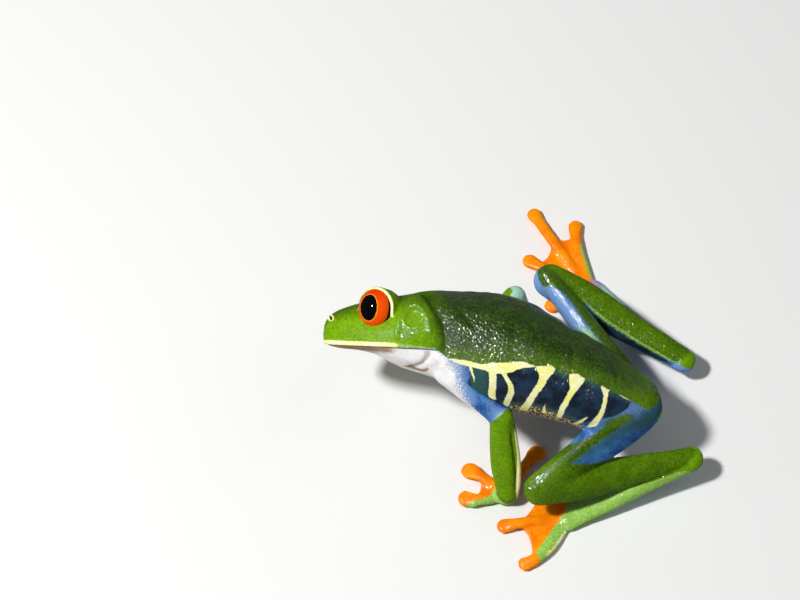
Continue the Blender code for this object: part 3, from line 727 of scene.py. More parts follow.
for fold in (*THROAT_FOLDS, LOW_THROAT_SHADE):
    marks["lip_and_throat_shade"] = np.maximum(marks["lip_and_throat_shade"], from_curve(fold) + 0.1)
marks["mint"] = np.maximum(marks["mint"], 0.9 - np.linalg.norm(points - body_point(22.0, -40.0), axis=1))

# Markings of the limbs.
# Green along the sides that show when the frog sleeps, blues on the hidden sides, and orange hands and feet.
# Each row is a share of the limb's length and the marking's two edges there, in degrees round a limb or in
# millimetres across a digit; where the first edge passes the second, the marking ends.
LIMB_MARKS = (
    ("forearm_left", "green", ((-0.3, 20, -60), (-0.2, -30, 0), (-0.12, -180, 180), (0.12, -160, 195),
                               (0.3, -15, 200), (1, -15, 200))),
    ("forearm_left", "rim", ((0.1, 14, 16), (0.2, 3, 20), (0.4, -7, 21), (0.7, 1, 28), (0.95, 8, 33),
                             (1.1, 22, 28))),
    ("forearm_right", "pale", ((-0.3, -180, 180), (0.15, -180, 180), (0.3, -66, 60), (0.5, 20, -20))),
    ("forearm_right", "green", ((-0.3, -200, -90), (0, -175, -80), (0.3, -180, -70), (1, -180, 0))),
    ("upper_arm_left", "green", ((0.85, 150, 40), (0.93, 60, 125), (0.98, -180, 180))),
    ("upper_arm_left", "white", ((0, 20, 240), (0.09, 56, 240), (0.21, 74, 235), (0.37, 106, 225),
                                 (0.5, 122, 215), (0.7, 150, 200), (0.82, 200, 150))),
    ("upper_arm_left", "lavender", ((0, -40, 60), (0.1, -20, 90), (0.3, 20, 110), (0.5, 60, 120),
                                    (0.62, 120, 60))),
    ("upper_arm_left", "lavender", ((0.66, 44, 40), (0.8, 25, 75), (0.88, 0, 100), (1, -60, 130))),
    ("upper_arm_left", "pale", ((0.84, 110, 10), (0.95, -20, 120), (1.05, -60, 130))),
    ("upper_arm_right", "green", ((0.75, 0, -120), (0.92, -90, 20), (1.2, -90, 30))),
    ("upper_arm_right", "white", ((0, -180, 180), (0.3, -180, 180), (0.42, 60, -60))),
    ("upper_arm_right", "pale", ((0.4, -180, 180), (1, -180, 180))),
    ("thigh_left", "green", ((-0.3, -100, 60), (-0.1, -92, 40), (-0.04, -75, 20), (0.01, -20, -70))),
    ("thigh_left", "green", ((0.02, -66, -86), (0.12, -77, -61), (0.3, -74, -47), (0.46, -70, -38),
                             (0.58, -70, -14), (0.68, -68, 30), (0.76, -66, 70), (0.9, -170, 170),
                             (1, -185, 185))),
    ("thigh_left", "green", ((0.4, -150, -170), (0.5, -175, -130), (0.62, -175, -95), (0.72, -175, -60))),
    ("thigh_left", "lavender", ((-0.04, -72, -66), (0.05, -72, -50), (0.16, -58, -40), (0.32, -36, -50))),
    ("thigh_left", "teal", ((-0.15, -150, -92), (0, -130, -80), (0.2, -104, -74), (0.5, -84, -70))),
    ("thigh_left", "pale", ((-0.2, -175, -140), (0, -165, -150), (0.05, -145, -170))),
    ("thigh_right", "green", ((0, 30, 140), (0.4, 20, 140), (0.55, 18, 140), (0.7, 22, 140), (0.82, 22, 145),
                              (0.92, 0, 160), (1, -70, 200))),
    ("thigh_right", "lavender", ((0, -80, 60), (0.6, -90, 20), (1.1, -100, 20))),
    ("thigh_right", "mint", ((0.1, 40, -20), (0.3, 0, 16), (0.48, -20, 12), (0.66, 0, -60))),
    ("shank_left", "green", ((0, -255, 45), (0.1, -210, -8), (1, -195, -8))),
    ("shank_left", "mint", ((0, -4, -26), (0.3, -24, -2), (1, -30, 0))),
    ("shank_right", "green", ((0, -90, 59), (0.18, -90, 82), (0.45, -90, 103), (0.71, -90, 112),
                              (1, -90, 114))),
    ("shank_right", "mint", ((0, 50, 66), (0.18, 80, 90), (0.45, 98, 111), (0.71, 108, 122), (1, 108, 126))),
    ("shank_right", "lavender", ((-0.3, 50, 250), (0, 60, 200), (0.15, 130, 70))),
    ("shank_right", "navy", ((0.06, 120, 80), (0.16, 95, 210), (0.87, 115, 230), (1, 170, 130))),
    ("shank_right", "lavender", ((0.75, 200, 150), (0.9, 150, 230), (1, 140, 250))),
    ("tarsus_left", "green", ((-0.3, -180, 180), (-0.02, -120, 200), (0.08, 20, 200), (0.2, 60, 170),
                              (0.3, 130, 100))),
    ("tarsus_left", "mint", ((0, -60, 200), (1, -60, 200))),
    ("tarsus_left", "pale", ((0, -50, -30), (0.4, -90, -14), (1, -100, -10))),
    ("tarsus_right", "green", ((-0.3, 20, 250), (-0.05, 45, 220), (0.06, 70, 190), (0.2, 120, 185),
                               (0.5, 150, 185), (0.9, 158, 182))),
    ("tarsus_right", "mint", ((-0.3, 20, 200), (0, 60, 200), (0.1, 110, 190), (0.5, 140, 190),
                              (1, 150, 190))),
    ("tarsus_right", "lavender", ((0, -60, 180), (1, 40, 180))),
    ("tarsus_right", "pale", ((0.1, 150, 90), (0.4, 90, 150), (0.7, 90, 150), (0.9, 150, 90))),
    ("sole_left", "mint", ((-0.3, -4, 4), (0.75, -4, 4), (1, -0.9, 4), (1.2, 0, 4))),
    ("toe_left_1", "mint", ((0, -3, 3), (0.4, -3, 3), (0.5, 0.8, -0.8))),
    ("sole_right", "lavender", ((0, -4, 4), (0.5, -4, 1), (0.9, -4, -0.9), (1.2, -4, -1.3))),
    ("sole_right", "pale", ((-0.3, -4, 4), (0.6, -4, 1), (0.8, -4, -1.2), (0.95, -1, -2.6))),
    ("toe_left_5", "mint", ((0, -2, 3), (0.72, -2, 3), (0.8, -0.5, 3), (0.86, 1.2, 0.2))),
    ("toe_left_5", "cream", ((-0.1, 1.6, 0.6), (0.1, 0.85, 1.9), (0.4, 0.85, 1.9), (0.7, 0.7, 1.5),
                             (0.8, 1.5, 0.4))),
    ("toe_right_5", "mint", ((0, -3, -0.3), (0.45, -3, -0.4), (0.68, -3, -0.35), (0.78, -0.5, -1.5))),
    ("toe_right_5", "lavender", ((0, -3, -0.5), (0.2, -3, -0.6), (0.32, -0.5, -1.5))),
    ("finger_left_4", "mint", ((0, -3, 3), (0.3, -0.3, 3), (0.6, 0.1, 3), (0.8, 0.3, 3), (1, 0.95, 2.2),
                               (1.1, 1.6, 1.2))),
    ("finger_right_4", "mint", ((0, -3, 3), (0.3, -3, 0.3), (0.6, -3, -0.1), (0.8, -3, -0.3),
                                (0.95, -1.2, -1.6))),
)
ORANGE_KINDS = ("finger", "toe", "web", "palm", "sole")
DEGREE_SIZE = 0.036     # of a limb's girth, in millimetres
EDGE_SHARPNESS = {"thigh_right": 0.35, "upper_arm_left": 0.35, "upper_arm_right": 0.3, "forearm_right": 0.4,
                  "sole_right": 0.5, "tarsus_right": 0.5, "tarsus_left": 0.5, "toe_left_5": 0.6,
                  "thigh_left": 0.6}
THIGH_ROOT = 1.55       # how far the thigh's colours run out on the flank, in its own half widths
limb_place_of = {}
for number, piece in enumerate(flesh):
    if piece["limb"]:
        here = np.nonzero(owner == number)[0]
        limb_place_of[piece["name"]] = (here, *on_limb(points[here], piece["limb"]))
for name in ORANGE_KINDS:
    marks["orange"][kind == kind_named[name]] = 2.0
thigh = next(piece["limb"] for piece in flesh if piece["name"] == "thigh_left")
here = np.nonzero(is_body & (body_x > 8) & (np.abs(body_angle) < 60))[0]
share, angle, sideways = on_limb(points[here], thigh)
off = points[here] - limb_place(thigh, np.clip(share, 0, 1))
wide, deep = (np.interp(share, thigh["rows"][:, 0], thigh["rows"][:, k]) for k in (1, 2))
root = np.hypot(off @ thigh["across"] / wide, off @ thigh["thick"] / deep)
root_edge = np.minimum((THIGH_ROOT - root) * 2, (share + 0.08) * 10)
marks["navy"][here] = np.minimum(marks["navy"][here], -root_edge)
marks["teal"][here] = np.where(root_edge > 0, UNMARKED, marks["teal"][here])
at_root = root_edge > -0.1
limb_place_of["thigh_left"] = tuple(
    np.concatenate([kept, found[at_root]])
    for kept, found in zip(limb_place_of["thigh_left"], (here, share, angle, sideways)))
for name, mark, rows in LIMB_MARKS:
    here, share, angle, sideways = limb_place_of[name]
    rows = np.array(rows, dtype=float)
    low, high = (np.interp(share, rows[:, 0], rows[:, k]) for k in (1, 2))
    middle, half = (low + high) / 2, (high - low) / 2
    if name.startswith(("toe", "finger", "sole")):
        value = half - np.abs(sideways - middle)
    else:
        value = (half - np.abs((angle - middle + 180) % 360 - 180)) * DEGREE_SIZE
    value = np.clip(value * EDGE_SHARPNESS.get(name, 1), -3, 3)
    marks[mark][here] = np.maximum(marks[mark][here], value)
outer_palm = np.maximum(JOINTS["left"]["palm"][1] + 0.4 - points[:, 1],
                        points[:, 1] - JOINTS["right"]["palm"][1] + 0.4)
marks["mint"] = np.where(kind == kind_named["palm"], outer_palm, marks["mint"])

# Painted shade, grain and wetness.
# How light the green is, how raised the skin's grain and how wet its surface: the face is light and smooth,
# the back dark, grained and wet, and the fold round each eardrum wet. The green's lightness is partly the
# frog's own tone and partly painted shade: darker over the top of the head and the back, which face away
# from the light, and darkest in the crease behind the head.
# how light each part's green is; on the tarsi partly their own light green and partly painted light,
# lightened where the shank's shade falls
LIMB_LIGHT = {"upper_arm": 0.7, "forearm": 0.75, "palm": 0.9, "finger": 0.9, "thigh": 0.2, "shank": 0.4,
              "tarsus": 0.9, "sole": 0.9, "toe": 0.9, "orbit": 0.8, "lid": 0.8, "nostril": 0.8}
LIMB_ROUGH = {"upper_arm": 0.6, "forearm": 0.7, "thigh": 0.6, "shank": 0.8, "tarsus": 0.5}
BACK_WET = 0.9
LIMB_WET = 0.14
# where along each thigh the wet part starts
WET_THIGHS = {"thigh_left": 0.85, "thigh_right": 0.3}
UNDER_EAR = ((-19.3, 12, 0.6), (-18.8, 11, 0.9), (-18.1, 9, 0.7))
SEAM_BLEND = 0.8        # how far the markings of two forms run into each other
SEAM_ROUNDS = 5
face = smooth_step(-body_x, 11.0, 16.0)
# partly painted shade: on the head the green darkens towards the top, away from the light, and on the trunk
# it is lighter low on the flanks by the green's border and at the rump
tone_and_painted_shade = np.where(is_body, face * (1 - 0.75 * smooth_step(left_angle, 25, 75))
                       + 0.3 * (1 - smooth_step(over_border, 0.5, 3.5)) * (1 - face)
                       + 0.35 * smooth_step(body_x, 13, 21), 0.5)
rough_share = np.where(is_body, 1 - 0.75 * face, 0.3)
for shares, by_kind in ((tone_and_painted_shade, LIMB_LIGHT), (rough_share, LIMB_ROUGH)):
    for name, value in by_kind.items():
        shares[kind == kind_named[name]] = value
here, share, angle, sideways = limb_place_of["thigh_left"]
thigh_light = 0.15 + 0.35 * smooth_step(share, 0.6, 0.9) + 0.2 * smooth_step(-share, -0.1, 0.05)
tone_and_painted_shade[here] = np.where(is_body[here], tone_and_painted_shade[here], thigh_light)
# painted shade: the green darkened in and beside the crease behind the head
tone_and_painted_shade *= 1 - 0.95 * ridge(crease - 0.2, 1.2) * is_body
wet_share = np.where(is_body, BACK_WET * (1 - face), np.where(is_head, 0.0, LIMB_WET))
for name, middle in WET_THIGHS.items():
    here, share, angle, sideways = limb_place_of[name]
    wet = 0.1 + 0.9 * smooth_step(share, middle - 0.1, middle + 0.1)
    wet_share[here] = np.where(is_body[here], wet_share[here], wet)
under_ear = smooth_step(from_curve(UNDER_EAR), -0.4, 0.3)
glossy = is_body * np.maximum(np.maximum(ear_fold, under_ear), 0.6 * smooth_step(eardrum, -3.2, -1.8))
glossy *= smooth_step(body_x, -20.3, -19.6)
wet_share = np.maximum(wet_share, glossy)
rough_share = np.maximum(rough_share, glossy * (1 - smooth_step(eardrum, -1.4, -1.0)))
seam = np.zeros(skin_count, dtype=bool)
seam[edges[near_owner != far_owner].ravel()] = True
seam_weight = np.clip(1 - spread_from(seam, SEAM_BLEND) / SEAM_BLEND, 0, 1) * 0.5
for values in (*marks.values(), tone_and_painted_shade, rough_share, wet_share):
    for number in range(SEAM_ROUNDS):
        values += seam_weight * away_from_mean(values)

# the ridge and groove beside the left forearm's pale line, and the ridge along the left tarsus
here, share, angle, sideways = limb_place_of["forearm_left"]
along = smooth_step(share, 0.05, 0.25) * smooth_step(-share, -1.05, -0.85)
lift[here] += along * (0.2 * ridge(angle - 12, 12) - 0.34 * ridge(angle - 34, 9))
here, share, angle, sideways = limb_place_of["tarsus_left"]
lift[here] += 0.35 * ridge(angle - 75, 40) * smooth_step(share, 0.0, 0.3) * smooth_step(-share, -0.95, -0.7)
points += skin_normals() * lift[:, None]
points[:, 2] = np.maximum(points[:, 2], 0)

nostril_place[~is_head] = FAR_OFF
mouth_height = np.where(is_body & (body_x < -13), above, FAR_OFF)

# The skin's finish.
# A moist skin with a fine raised grain, coloured by its markings with soft ragged edges and mottled shades. A
# thin wet coat over it has one small glint on each raised grain.
# dark and light greens; the mix between them, by the kept light value, is partly the frog's own tone and
# partly painted shade
BACK_GREENS = ((0.011, 0.033, 0.0003, 1), (0.05, 0.12, 0.001, 1))
LIGHT_GREENS = ((0.13, 0.29, 0.001, 1), (0.22, 0.44, 0.003, 1))
MINTS = ((0.24, 0.46, 0.06, 1), (0.38, 0.64, 0.14, 1))
CREAMS = ((0.96, 0.91, 0.28, 1), (0.97, 0.96, 0.55, 1))
RIM_CREAM = (0.97, 0.94, 0.45, 1)
WHITES = ((0.8, 0.77, 0.79, 1), (0.94, 0.93, 0.9, 1))
# painted shade under the lip and in the throat's folds
SHADE_BROWN = (0.3, 0.17, 0.05, 1)
BELLIES = ((0.9, 0.84, 0.5, 1), (0.06, 0.04, 0.015, 1))
ORANGES = ((0.93, 0.19, 0.0, 1), (0.97, 0.31, 0.0, 1))
FLANK_BLUES = ((0.004, 0.011, 0.024, 1), (0.009, 0.032, 0.068, 1))
TEAL = (0.025, 0.09, 0.085, 1)
LIMB_BLUES = ((0.018, 0.07, 0.3, 1), (0.05, 0.2, 0.45, 1))
LAVENDER = (0.16, 0.3, 0.58, 1)
PALE_BLUE = (0.36, 0.62, 0.5, 1)
NOSTRIL_RING = (0.75, 0.85, 0.3, 1)
# painted shade in the nostril's opening
NOSTRIL_SHADE = (0.004, 0.005, 0.002, 1)
# painted shade in the groove of the closed mouth
MOUTH_LINE_SHADE = (0.07, 0.045, 0.015, 1)
# sizes of the patterns, in repeats a millimetre
BROAD_MOTTLE = 0.45
FINE_MOTTLE = 3.0
SPECKLES = 6.5
SKIN_GRAINS = 2.9
WET_BEADS = 1.9
GRAIN_HEIGHT = 0.00013      # in metres, as is the next
BEAD_HEIGHT = 0.00022


def add_node(tree, kind, inputs=None, **settings):
    """A shader node with its inputs set to values or joined to other nodes' outputs."""
    node = tree.nodes.new(kind)
    for name, value in settings.items():
        setattr(node, name, value)
    for name, value in (inputs or {}).items():
        if isinstance(value, bpy.types.NodeSocket):
            tree.links.new(value, node.inputs[name])
        else:
            node.inputs[name].default_value = value
    return node


def mixed(tree, factor, first, second):
    """A colour mixed of two; each may be a value or another node's output."""
    return add_node(tree, "ShaderNodeMix", {0: factor, 6: first, 7: second}, data_type="RGBA").outputs[2]


def set_inputs(node, values):
    for name, value in values.items():
        node.inputs[name].default_value = value


def new_material(name):
    made = bpy.data.materials.new(name)
    made.use_nodes = True
    tree = made.node_tree
    return made, tree, tree.nodes["Principled BSDF"]


def noise(tree, place, scale, detail):
    node = add_node(tree, "ShaderNodeTexNoise", {"Vector": place, "Scale": scale, "Detail": detail})
    return node.outputs["Fac"]


def ranged(tree, value, low, high, to_low=0.0, to_high=1.0):
    inputs = {"Value": value, "From Min": low, "From Max": high, "To Min": to_low, "To Max": to_high}
    return add_node(tree, "ShaderNodeMapRange", inputs, interpolation_type="SMOOTHSTEP").outputs["Result"]


def combined(tree, operation, *values):
    return add_node(tree, "ShaderNodeMath", dict(enumerate(values)), operation=operation).outputs[0]


def turned(tree, operation, *values, output=0):
    """The same for vectors."""
    node = add_node(tree, "ShaderNodeVectorMath", dict(enumerate(values)), operation=operation)
    return node.outputs[output]


def millimetres(tree):
    """Object coordinates in millimetres."""
    place = add_node(tree, "ShaderNodeTexCoord").outputs["Object"]
    return turned(tree, "MULTIPLY", place, (1000, 1000, 1000))


def kept_value(tree, name, output="Fac"):
    """A value that the mesh keeps at its points, or a place with output Vector."""
    return add_node(tree, "ShaderNodeAttribute", attribute_name=name).outputs[output]


def inside(tree, mark, ragged=None, amount=0.0, soft=0.06):
    """How far a place is inside a marking, from 0 to 1, with a ragged edge."""
    value = kept_value(tree, mark)
    if ragged is not None:
        value = combined(tree, "MULTIPLY_ADD", combined(tree, "SUBTRACT", ragged, 0.5), amount, value)
    return ranged(tree, value, -soft, soft)


skin_finish, tree, shader = new_material("moist_frog_skin")
place = millimetres(tree)
fine = noise(tree, place, FINE_MOTTLE, 3)
broad = noise(tree, place, BROAD_MOTTLE, 2)
speckle = noise(tree, place, SPECKLES, 2)
grains = add_node(tree, "ShaderNodeTexVoronoi", {"Vector": place, "Scale": SKIN_GRAINS}, feature="SMOOTH_F1")
grains = grains.outputs["Distance"]
patchy = combined(tree, "MULTIPLY_ADD", fine, 0.6, broad)

mottle = combined(tree, "MULTIPLY_ADD", broad, -0.45, patchy)
mottle = combined(tree, "MULTIPLY_ADD", grains, -0.8, mottle)
mottle = combined(tree, "MULTIPLY_ADD", speckle, 0.35, mottle)
flank, limb, orange, mint, belly, white, cream, back, light = (
    mixed(tree, ranged(tree, pattern, low, high), *colours) for pattern, low, high, colours in (
        (broad, 0.4, 0.62, FLANK_BLUES), (patchy, 0.6, 1.0, LIMB_BLUES), (patchy, 0.6, 1.0, ORANGES),
        (mottle, 0.15, 0.8, MINTS), (grains, 0.24, 0.42, BELLIES), (broad, 0.35, 0.65, WHITES),
        (broad, 0.35, 0.65, CREAMS), (mottle, 0.2, 0.8, BACK_GREENS), (mottle, 0.15, 0.8, LIGHT_GREENS)))
# painted shade: brown over the white under the lip and in the throat's folds
white = mixed(tree, combined(tree, "MULTIPLY", inside(tree, "lip_and_throat_shade", fine, 0.5, 0.3), 0.88), white, SHADE_BROWN)
white = mixed(tree, inside(tree, "grains", fine, 1.0, 1.0), white, belly)
# the green, mixed by the kept light value, which is partly painted shade
green = mixed(tree, kept_value(tree, "light"), back, light)
colour = mixed(tree, inside(tree, "navy"), limb, flank)
# each marking lies over those before it: its name, the pattern that makes its edge ragged, how ragged and how
# soft the edge is in millimetres, and its colour
for mark, pattern, amount, soft, over in (
        ("teal", fine, 1.5, 0.6, TEAL), ("orange", fine, 0.5, 0.2, orange),
        ("lavender", fine, 0.9, 0.5, LAVENDER), ("mint", fine, 0.6, 0.3, mint),
        ("pale", fine, 0.8, 0.4, PALE_BLUE), ("white", speckle, 2.2, 0.2, white),
        ("cream", fine, 0.35, 0.07, cream), ("green", speckle, 0.5, 0.08, green),
        ("rim", fine, 0.12, 0.06, RIM_CREAM)):
    colour = mixed(tree, inside(tree, mark, pattern, amount, soft), colour, over)

# the lid's pale rim, widest behind the eye, and the thin line of light green under it
lid = kept_value(tree, "lid", "Vector")
lid_reach = turned(tree, "LENGTH", lid, output="Value")
lid_way = add_node(tree, "ShaderNodeSeparateXYZ", {0: turned(tree, "NORMALIZE", lid)})
forward, upward, rearward = (lid_way.outputs[axis] for axis in "XYZ")
from_gaze = combined(tree, "ARCCOSINE", forward)
on_lid = ranged(tree, lid_reach, EYE_RADIUS + 0.9, EYE_RADIUS + 0.7)
rim_wide = combined(tree, "MULTIPLY_ADD", rearward, 0.07, 0.12)
rim_wide = combined(tree, "MULTIPLY_ADD", upward, -0.04, rim_wide)
not_below = ranged(tree, upward, -0.75, 0.1)
not_in_front = combined(tree, "MULTIPLY_ADD", upward, 0.75, rearward)
rim_wide = combined(tree, "MULTIPLY", rim_wide, not_below)
rim_wide = combined(tree, "MULTIPLY", rim_wide, ranged(tree, not_in_front, -0.5, -0.1))
gap = combined(tree, "SUBTRACT", from_gaze, math.radians(LID_ANGLE + 0.8))
lower_drop = ranged(tree, upward, -0.2, -0.8, 0.0, math.radians(LOWER_LID_DROP))
gap = combined(tree, "SUBTRACT", gap, lower_drop)
gap = combined(tree, "MULTIPLY", combined(tree, "ABSOLUTE", gap), EYE_RADIUS)
under = combined(tree, "MULTIPLY", ranged(tree, gap, 0.16, 0.08), ranged(tree, upward, -0.25, -0.45))
colour = mixed(tree, combined(tree, "MULTIPLY", under, on_lid), colour, MINTS[1])
rim = ranged(tree, combined(tree, "SUBTRACT", rim_wide, gap), -0.04, 0.04)
colour = mixed(tree, combined(tree, "MULTIPLY", rim, on_lid), colour, RIM_CREAM)
nostril = kept_value(tree, "nostril", "Vector")
# a pale ring round each nostril, and painted shade in its opening
for stretch, outer, inner, over in (
        ((1, 1, 0.5), 0.56, 0.46, NOSTRIL_RING), ((1, 0.5, 0.3), 0.25, 0.17, NOSTRIL_SHADE)):
    from_nostril = turned(tree, "LENGTH", turned(tree, "MULTIPLY", nostril, stretch), output="Value")
    colour = mixed(tree, ranged(tree, from_nostril, outer, inner), colour, over)
# painted shade: a dark brown line in the groove of the closed mouth
mouth_line = combined(tree, "ABSOLUTE", combined(tree, "ADD", kept_value(tree, "mouth"), 0.1))
colour = mixed(tree, ranged(tree, mouth_line, 0.14, 0.05), colour, MOUTH_LINE_SHADE)
tree.links.new(colour, shader.inputs["Base Color"])
height = combined(tree, "MULTIPLY_ADD", grains, -1.0, combined(tree, "MULTIPLY", speckle, 0.35))
beads = add_node(tree, "ShaderNodeTexVoronoi", {"Vector": place, "Scale": WET_BEADS}).outputs["Distance"]
beads = combined(tree, "MULTIPLY", beads, combined(tree, "MULTIPLY", beads, -1.0))
beads = combined(tree, "MULTIPLY_ADD", fine, 0.25, beads)
for height, distance, normal in ((height, GRAIN_HEIGHT, "Normal"), (beads, BEAD_HEIGHT, "Coat Normal")):
    relief = {"Strength": kept_value(tree, "rough"), "Distance": distance, "Height": height}
    tree.links.new(add_node(tree, "ShaderNodeBump", relief).outputs[0], shader.inputs[normal])
tree.links.new(ranged(tree, broad, 0.3, 0.7, 0.38, 0.5), shader.inputs["Roughness"])
tree.links.new(kept_value(tree, "wet"), shader.inputs["Coat Weight"])
set_inputs(shader, {"Specular IOR Level": 0.05, "Coat Roughness": 0.1, "Coat IOR": 1.5,
                    "Subsurface Weight": 0.1, "Subsurface Scale": 0.0006})

# Placing the skin.
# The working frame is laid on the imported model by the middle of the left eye, and the skin's fine mesh is
# thinned where nothing on it needs it.
eye_box = [np.array(corner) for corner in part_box("eye_left")]
to_working = eyes["left"] - 1000 * (eye_box[0] + eye_box[1]) / 2


def in_frame(places):
    """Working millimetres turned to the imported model's metres."""
    return (np.asarray(places) - to_working) / 1000


def new_piece(name, places, faces, finish):
    mesh = bpy.data.meshes.new(name)
    mesh.from_pydata(in_frame(places).tolist(), [], faces)
    mesh.shade_smooth()
    mesh.materials.append(finish)
    piece = bpy.data.objects.new(name, mesh)
    bpy.context.scene.collection.objects.link(piece)
    return piece


def keep_values(piece, values):
    """Numbers or places, one for each of the mesh's points, for its finish to read."""
    for name, numbers in values.items():
        kind, field = ("FLOAT", "value") if numbers.ndim == 1 else ("FLOAT_VECTOR", "vector")
        layer = piece.data.attributes.new(name, kind, "POINT")
        layer.data.foreach_set(field, numbers.astype(np.float32).ravel())


skin = new_piece("skin", points, quads.tolist(), skin_finish)
keep_values(skin, {**marks, "light": tone_and_painted_shade, "rough": rough_share, "wet": wet_share,
                   "mouth": mouth_height, "nostril": nostril_place, "lid": lid_place})
# the mesh is thinned most where it carries neither a marking's edge nor the face
SPARE_LEVELS = 4
plain = np.minimum.reduce([smooth_step(np.abs(marks[name]), 0.1, 0.5) for name in MARKS])
spare = skin.vertex_groups.new(name="spare")
levels = np.ceil(SPARE_LEVELS * plain * smooth_step(body_x, -26, -14))
for level in range(1, SPARE_LEVELS + 1):
    spare.add(np.nonzero(levels == level)[0].tolist(), level / SPARE_LEVELS, "REPLACE")
thin = skin.modifiers.new("thin", "DECIMATE")
thin.ratio = MOST_TRIANGLES / (2 * len(quads))
thin.vertex_group = "spare"
thin.vertex_group_factor = 0.001
graph = bpy.context.evaluated_depsgraph_get()
thinned = bpy.data.meshes.new_from_object(skin.evaluated_get(graph))
skin.modifiers.clear()
skin.vertex_groups.clear()
skin.data = thinned
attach(skin, "root")
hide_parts(*[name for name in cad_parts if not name.startswith("eye_")])

# Eyes.
# Bulging glass-like eyeballs, cast in clear resin over a painted iris: a tall black pupil with a thin gold
# line round it, an orange-red iris with faint rays, and a dark edge of painted shade where the eyeball goes
# under the lid.
PUPIL_AXIS = (33, 5.5)          # degrees forward and up, as is the next
IRIS_AXIS = (45, 6)
PUPIL_HALF = (32.6, 41.0)       # half width and half height in degrees
IRIS_REACH = 83.0               # degrees from the iris's axis
RING_HALF_WIDTH = 0.07
EYE_TALLER = 0.07               # share that the eyeball is taller than wide
EYE_LOWER = 0.2
EYE_RINGS = 119
EYE_SIDES = 128
IRIS_REDS = ((0.95, 0.09, 0.002, 1), (0.8, 0.03, 0.001, 1))
# painted shade where the eyeball goes under the lid
EYE_EDGE_SHADE = (0.004, 0.006, 0.012, 1)
RING_GOLD = (0.9, 0.4, 0.03, 1)
PUPIL_BLACK = (0.002, 0.002, 0.002, 1)
eye_finish, tree, shader = new_material("wet_red_eye")
streaks = noise(tree, kept_value(tree, "rays", "Vector"), 9.0, 3)
mixing = combined(tree, "MULTIPLY_ADD", streaks, 0.6, kept_value(tree, "redness"))
iris = mixed(tree, ranged(tree, mixing, 0.1, 0.95), *IRIS_REDS)
# outside the iris: painted shade where the eyeball goes under the lid
colour = mixed(tree, inside(tree, "iris", soft=0.08), EYE_EDGE_SHADE, iris)
colour = mixed(tree, inside(tree, "ring", streaks, 0.1, 0.05), colour, RING_GOLD)
colour = mixed(tree, inside(tree, "pupil", soft=0.03), colour, PUPIL_BLACK)
tree.links.new(colour, shader.inputs["Base Color"])
set_inputs(shader, {"Roughness": 0.4, "Specular IOR Level": 0.0, "Coat Weight": 0.3,
                    "Coat Roughness": 0.02, "Coat IOR": 1.34})
for side, sign in SIDES.items():
    pupil_axis = look_direction(sign, *PUPIL_AXIS)
    iris_axis = look_direction(sign, *IRIS_AXIS)
    eye_up = unit(dorsal(HEAD_LEAN) - pupil_axis * (dorsal(HEAD_LEAN) @ pupil_axis))
    eye_side = np.cross(eye_up, pupil_axis)
    tilt = np.radians(np.linspace(0, 180, EYE_RINGS + 2)[1:-1])
    turn = 2 * np.pi * np.arange(EYE_SIDES) / EYE_SIDES
    out = (np.cos(tilt)[:, None, None] * pupil_axis
           + np.sin(tilt)[:, None, None] * (np.cos(turn)[None, :, None] * eye_side
                                            + np.sin(turn)[None, :, None] * eye_up)).reshape(-1, 3)
    out = np.concatenate([out, pupil_axis[None], -pupil_axis[None]])
    front, back = EYE_RINGS * EYE_SIDES, EYE_RINGS * EYE_SIDES + 1
    faces = []
    for j in range(EYE_SIDES):
        k = (j + 1) % EYE_SIDES
        rows = range(0, (EYE_RINGS - 1) * EYE_SIDES, EYE_SIDES)
        faces += [(i + j, i + EYE_SIDES + j, i + EYE_SIDES + k, i + k) for i in rows]
        faces += [(front, j, k), (back, rows[-1] + EYE_SIDES + k, rows[-1] + EYE_SIDES + j)]
    tall = EYE_TALLER * (out @ eye_up)[:, None] * eye_up
    places = eyes[side] + EYE_RADIUS * (out + tall) - EYE_LOWER * eye_up
    eye = new_piece(f"eyeball_{side}", places, faces, eye_finish)
    angle = np.degrees(np.arccos(np.clip(out @ pupil_axis, -1, 1)))
    ray = np.arctan2(out @ eye_up, out @ eye_side)
    pupil_reach = 1 / np.hypot(np.cos(ray) / PUPIL_HALF[0], np.sin(ray) / PUPIL_HALF[1])
    per_degree = math.radians(1) * EYE_RADIUS
    eye_marks = {
        "pupil": (pupil_reach - angle) * per_degree,
        "ring": RING_HALF_WIDTH - np.abs(pupil_reach + 1.2 - angle) * per_degree,
        "iris": (IRIS_REACH - np.degrees(np.arccos(np.clip(out @ iris_axis, -1, 1)))) * per_degree,
        "redness": 0.5 * (out @ FORWARD + out @ dorsal(HEAD_LEAN)),
        "rays": np.stack([np.cos(ray), np.sin(ray), angle / 150], axis=1),
    }
    keep_values(eye, eye_marks)
    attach(eye, "root")
    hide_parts(f"eye_{side}")

# Floor, light and camera.
# A plain pale floor that the pads stand on, a soft box to the left of the camera with a small lamp before it
# that only gives glints, a wide soft fill from the right, and the camera above the frog's left side.
FLOOR_HALF = 1500
FLOOR_LEVEL = -0.02
LOOK_DOWN = 60.0                # degrees
CAMERA_DISTANCE = 500
FOCAL_LENGTH = 140.625
CAMERA_TARGET = (-19.2, 9.6)    # along the frog's length, and up in the picture from the trunk's middle
LIGHT_TARGET = (-3.0, 0, 12)
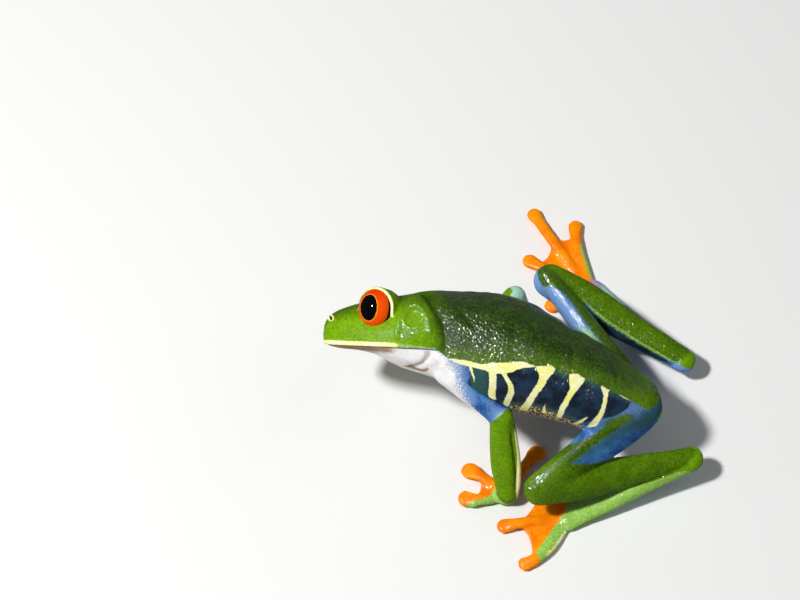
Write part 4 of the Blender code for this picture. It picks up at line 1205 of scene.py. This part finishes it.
# how far to the right, up and towards the camera a light stands
KEY_SIDE = (-0.51, 0.31, 0.8)
FILL_SIDE = (0.7, 0.5, 0.5)
floor_finish, tree, shader = new_material("pale_floor")
set_inputs(shader, {"Base Color": (0.8, 0.8, 0.78, 1), "Roughness": 0.8})
corners = [(x * FLOOR_HALF, y * FLOOR_HALF, FLOOR_LEVEL) for x, y in ((-1, -1), (1, -1), (1, 1), (-1, 1))]
floor = new_piece("floor", corners, [(0, 1, 2, 3)], floor_finish)
floor.visible_glossy = False
VIEW_RIGHT = np.array((1.0, 0, 0))
VIEW_UP = np.array((0, math.sin(math.radians(LOOK_DOWN)), math.cos(math.radians(LOOK_DOWN))))
VIEW_BACK = np.cross(VIEW_RIGHT, VIEW_UP)


def facing(origin, back, up):
    """Where something stands and how it is turned, looking against its back direction."""
    right = unit(np.cross(up, back))
    matrix = np.eye(4)
    matrix[:3, :3] = np.stack([right, np.cross(back, right), back], axis=1)
    matrix[:3, 3] = in_frame(origin)
    return Matrix(matrix.tolist())


def add_light(name, direction, distance, size, power):
    right, up, back = direction
    towards = unit(right * VIEW_RIGHT + up * VIEW_UP + back * VIEW_BACK)
    data = bpy.data.lights.new(name, "AREA")
    data.shape = "DISK"
    data.size = size
    data.energy = power
    light = bpy.data.objects.new(name, data)
    origin = np.array(LIGHT_TARGET) + distance * towards
    light.matrix_world = facing(origin, towards, VIEW_UP + 0.01 * VIEW_RIGHT)
    bpy.context.scene.collection.objects.link(light)
    return light


add_light("soft_box", KEY_SIDE, 600, 0.07, 3.8).visible_glossy = False
add_light("glint_lamp", KEY_SIDE, 590, 0.045, 9).visible_diffuse = False
add_light("fill", FILL_SIDE, 900, 0.9, 1.1).visible_glossy = False
world = bpy.data.worlds.new("studio")
world.use_nodes = True
set_inputs(world.node_tree.nodes["Background"], {"Color": (0.9, 0.93, 1.0, 1), "Strength": 0.15})
bpy.context.scene.world = world

camera_data = bpy.data.cameras.new("camera")
camera_data.sensor_width = 36
camera_data.lens = FOCAL_LENGTH
camera_data.clip_start = 0.01
camera = bpy.data.objects.new("camera", camera_data)
target = np.array((CAMERA_TARGET[0], 0, BODY_HEIGHT)) + CAMERA_TARGET[1] * VIEW_UP
camera.matrix_world = facing(target + CAMERA_DISTANCE * VIEW_BACK, VIEW_BACK, VIEW_UP)
bpy.context.scene.collection.objects.link(camera)
bpy.context.scene.camera = camera
bpy.context.scene.view_settings.view_transform = "Standard"
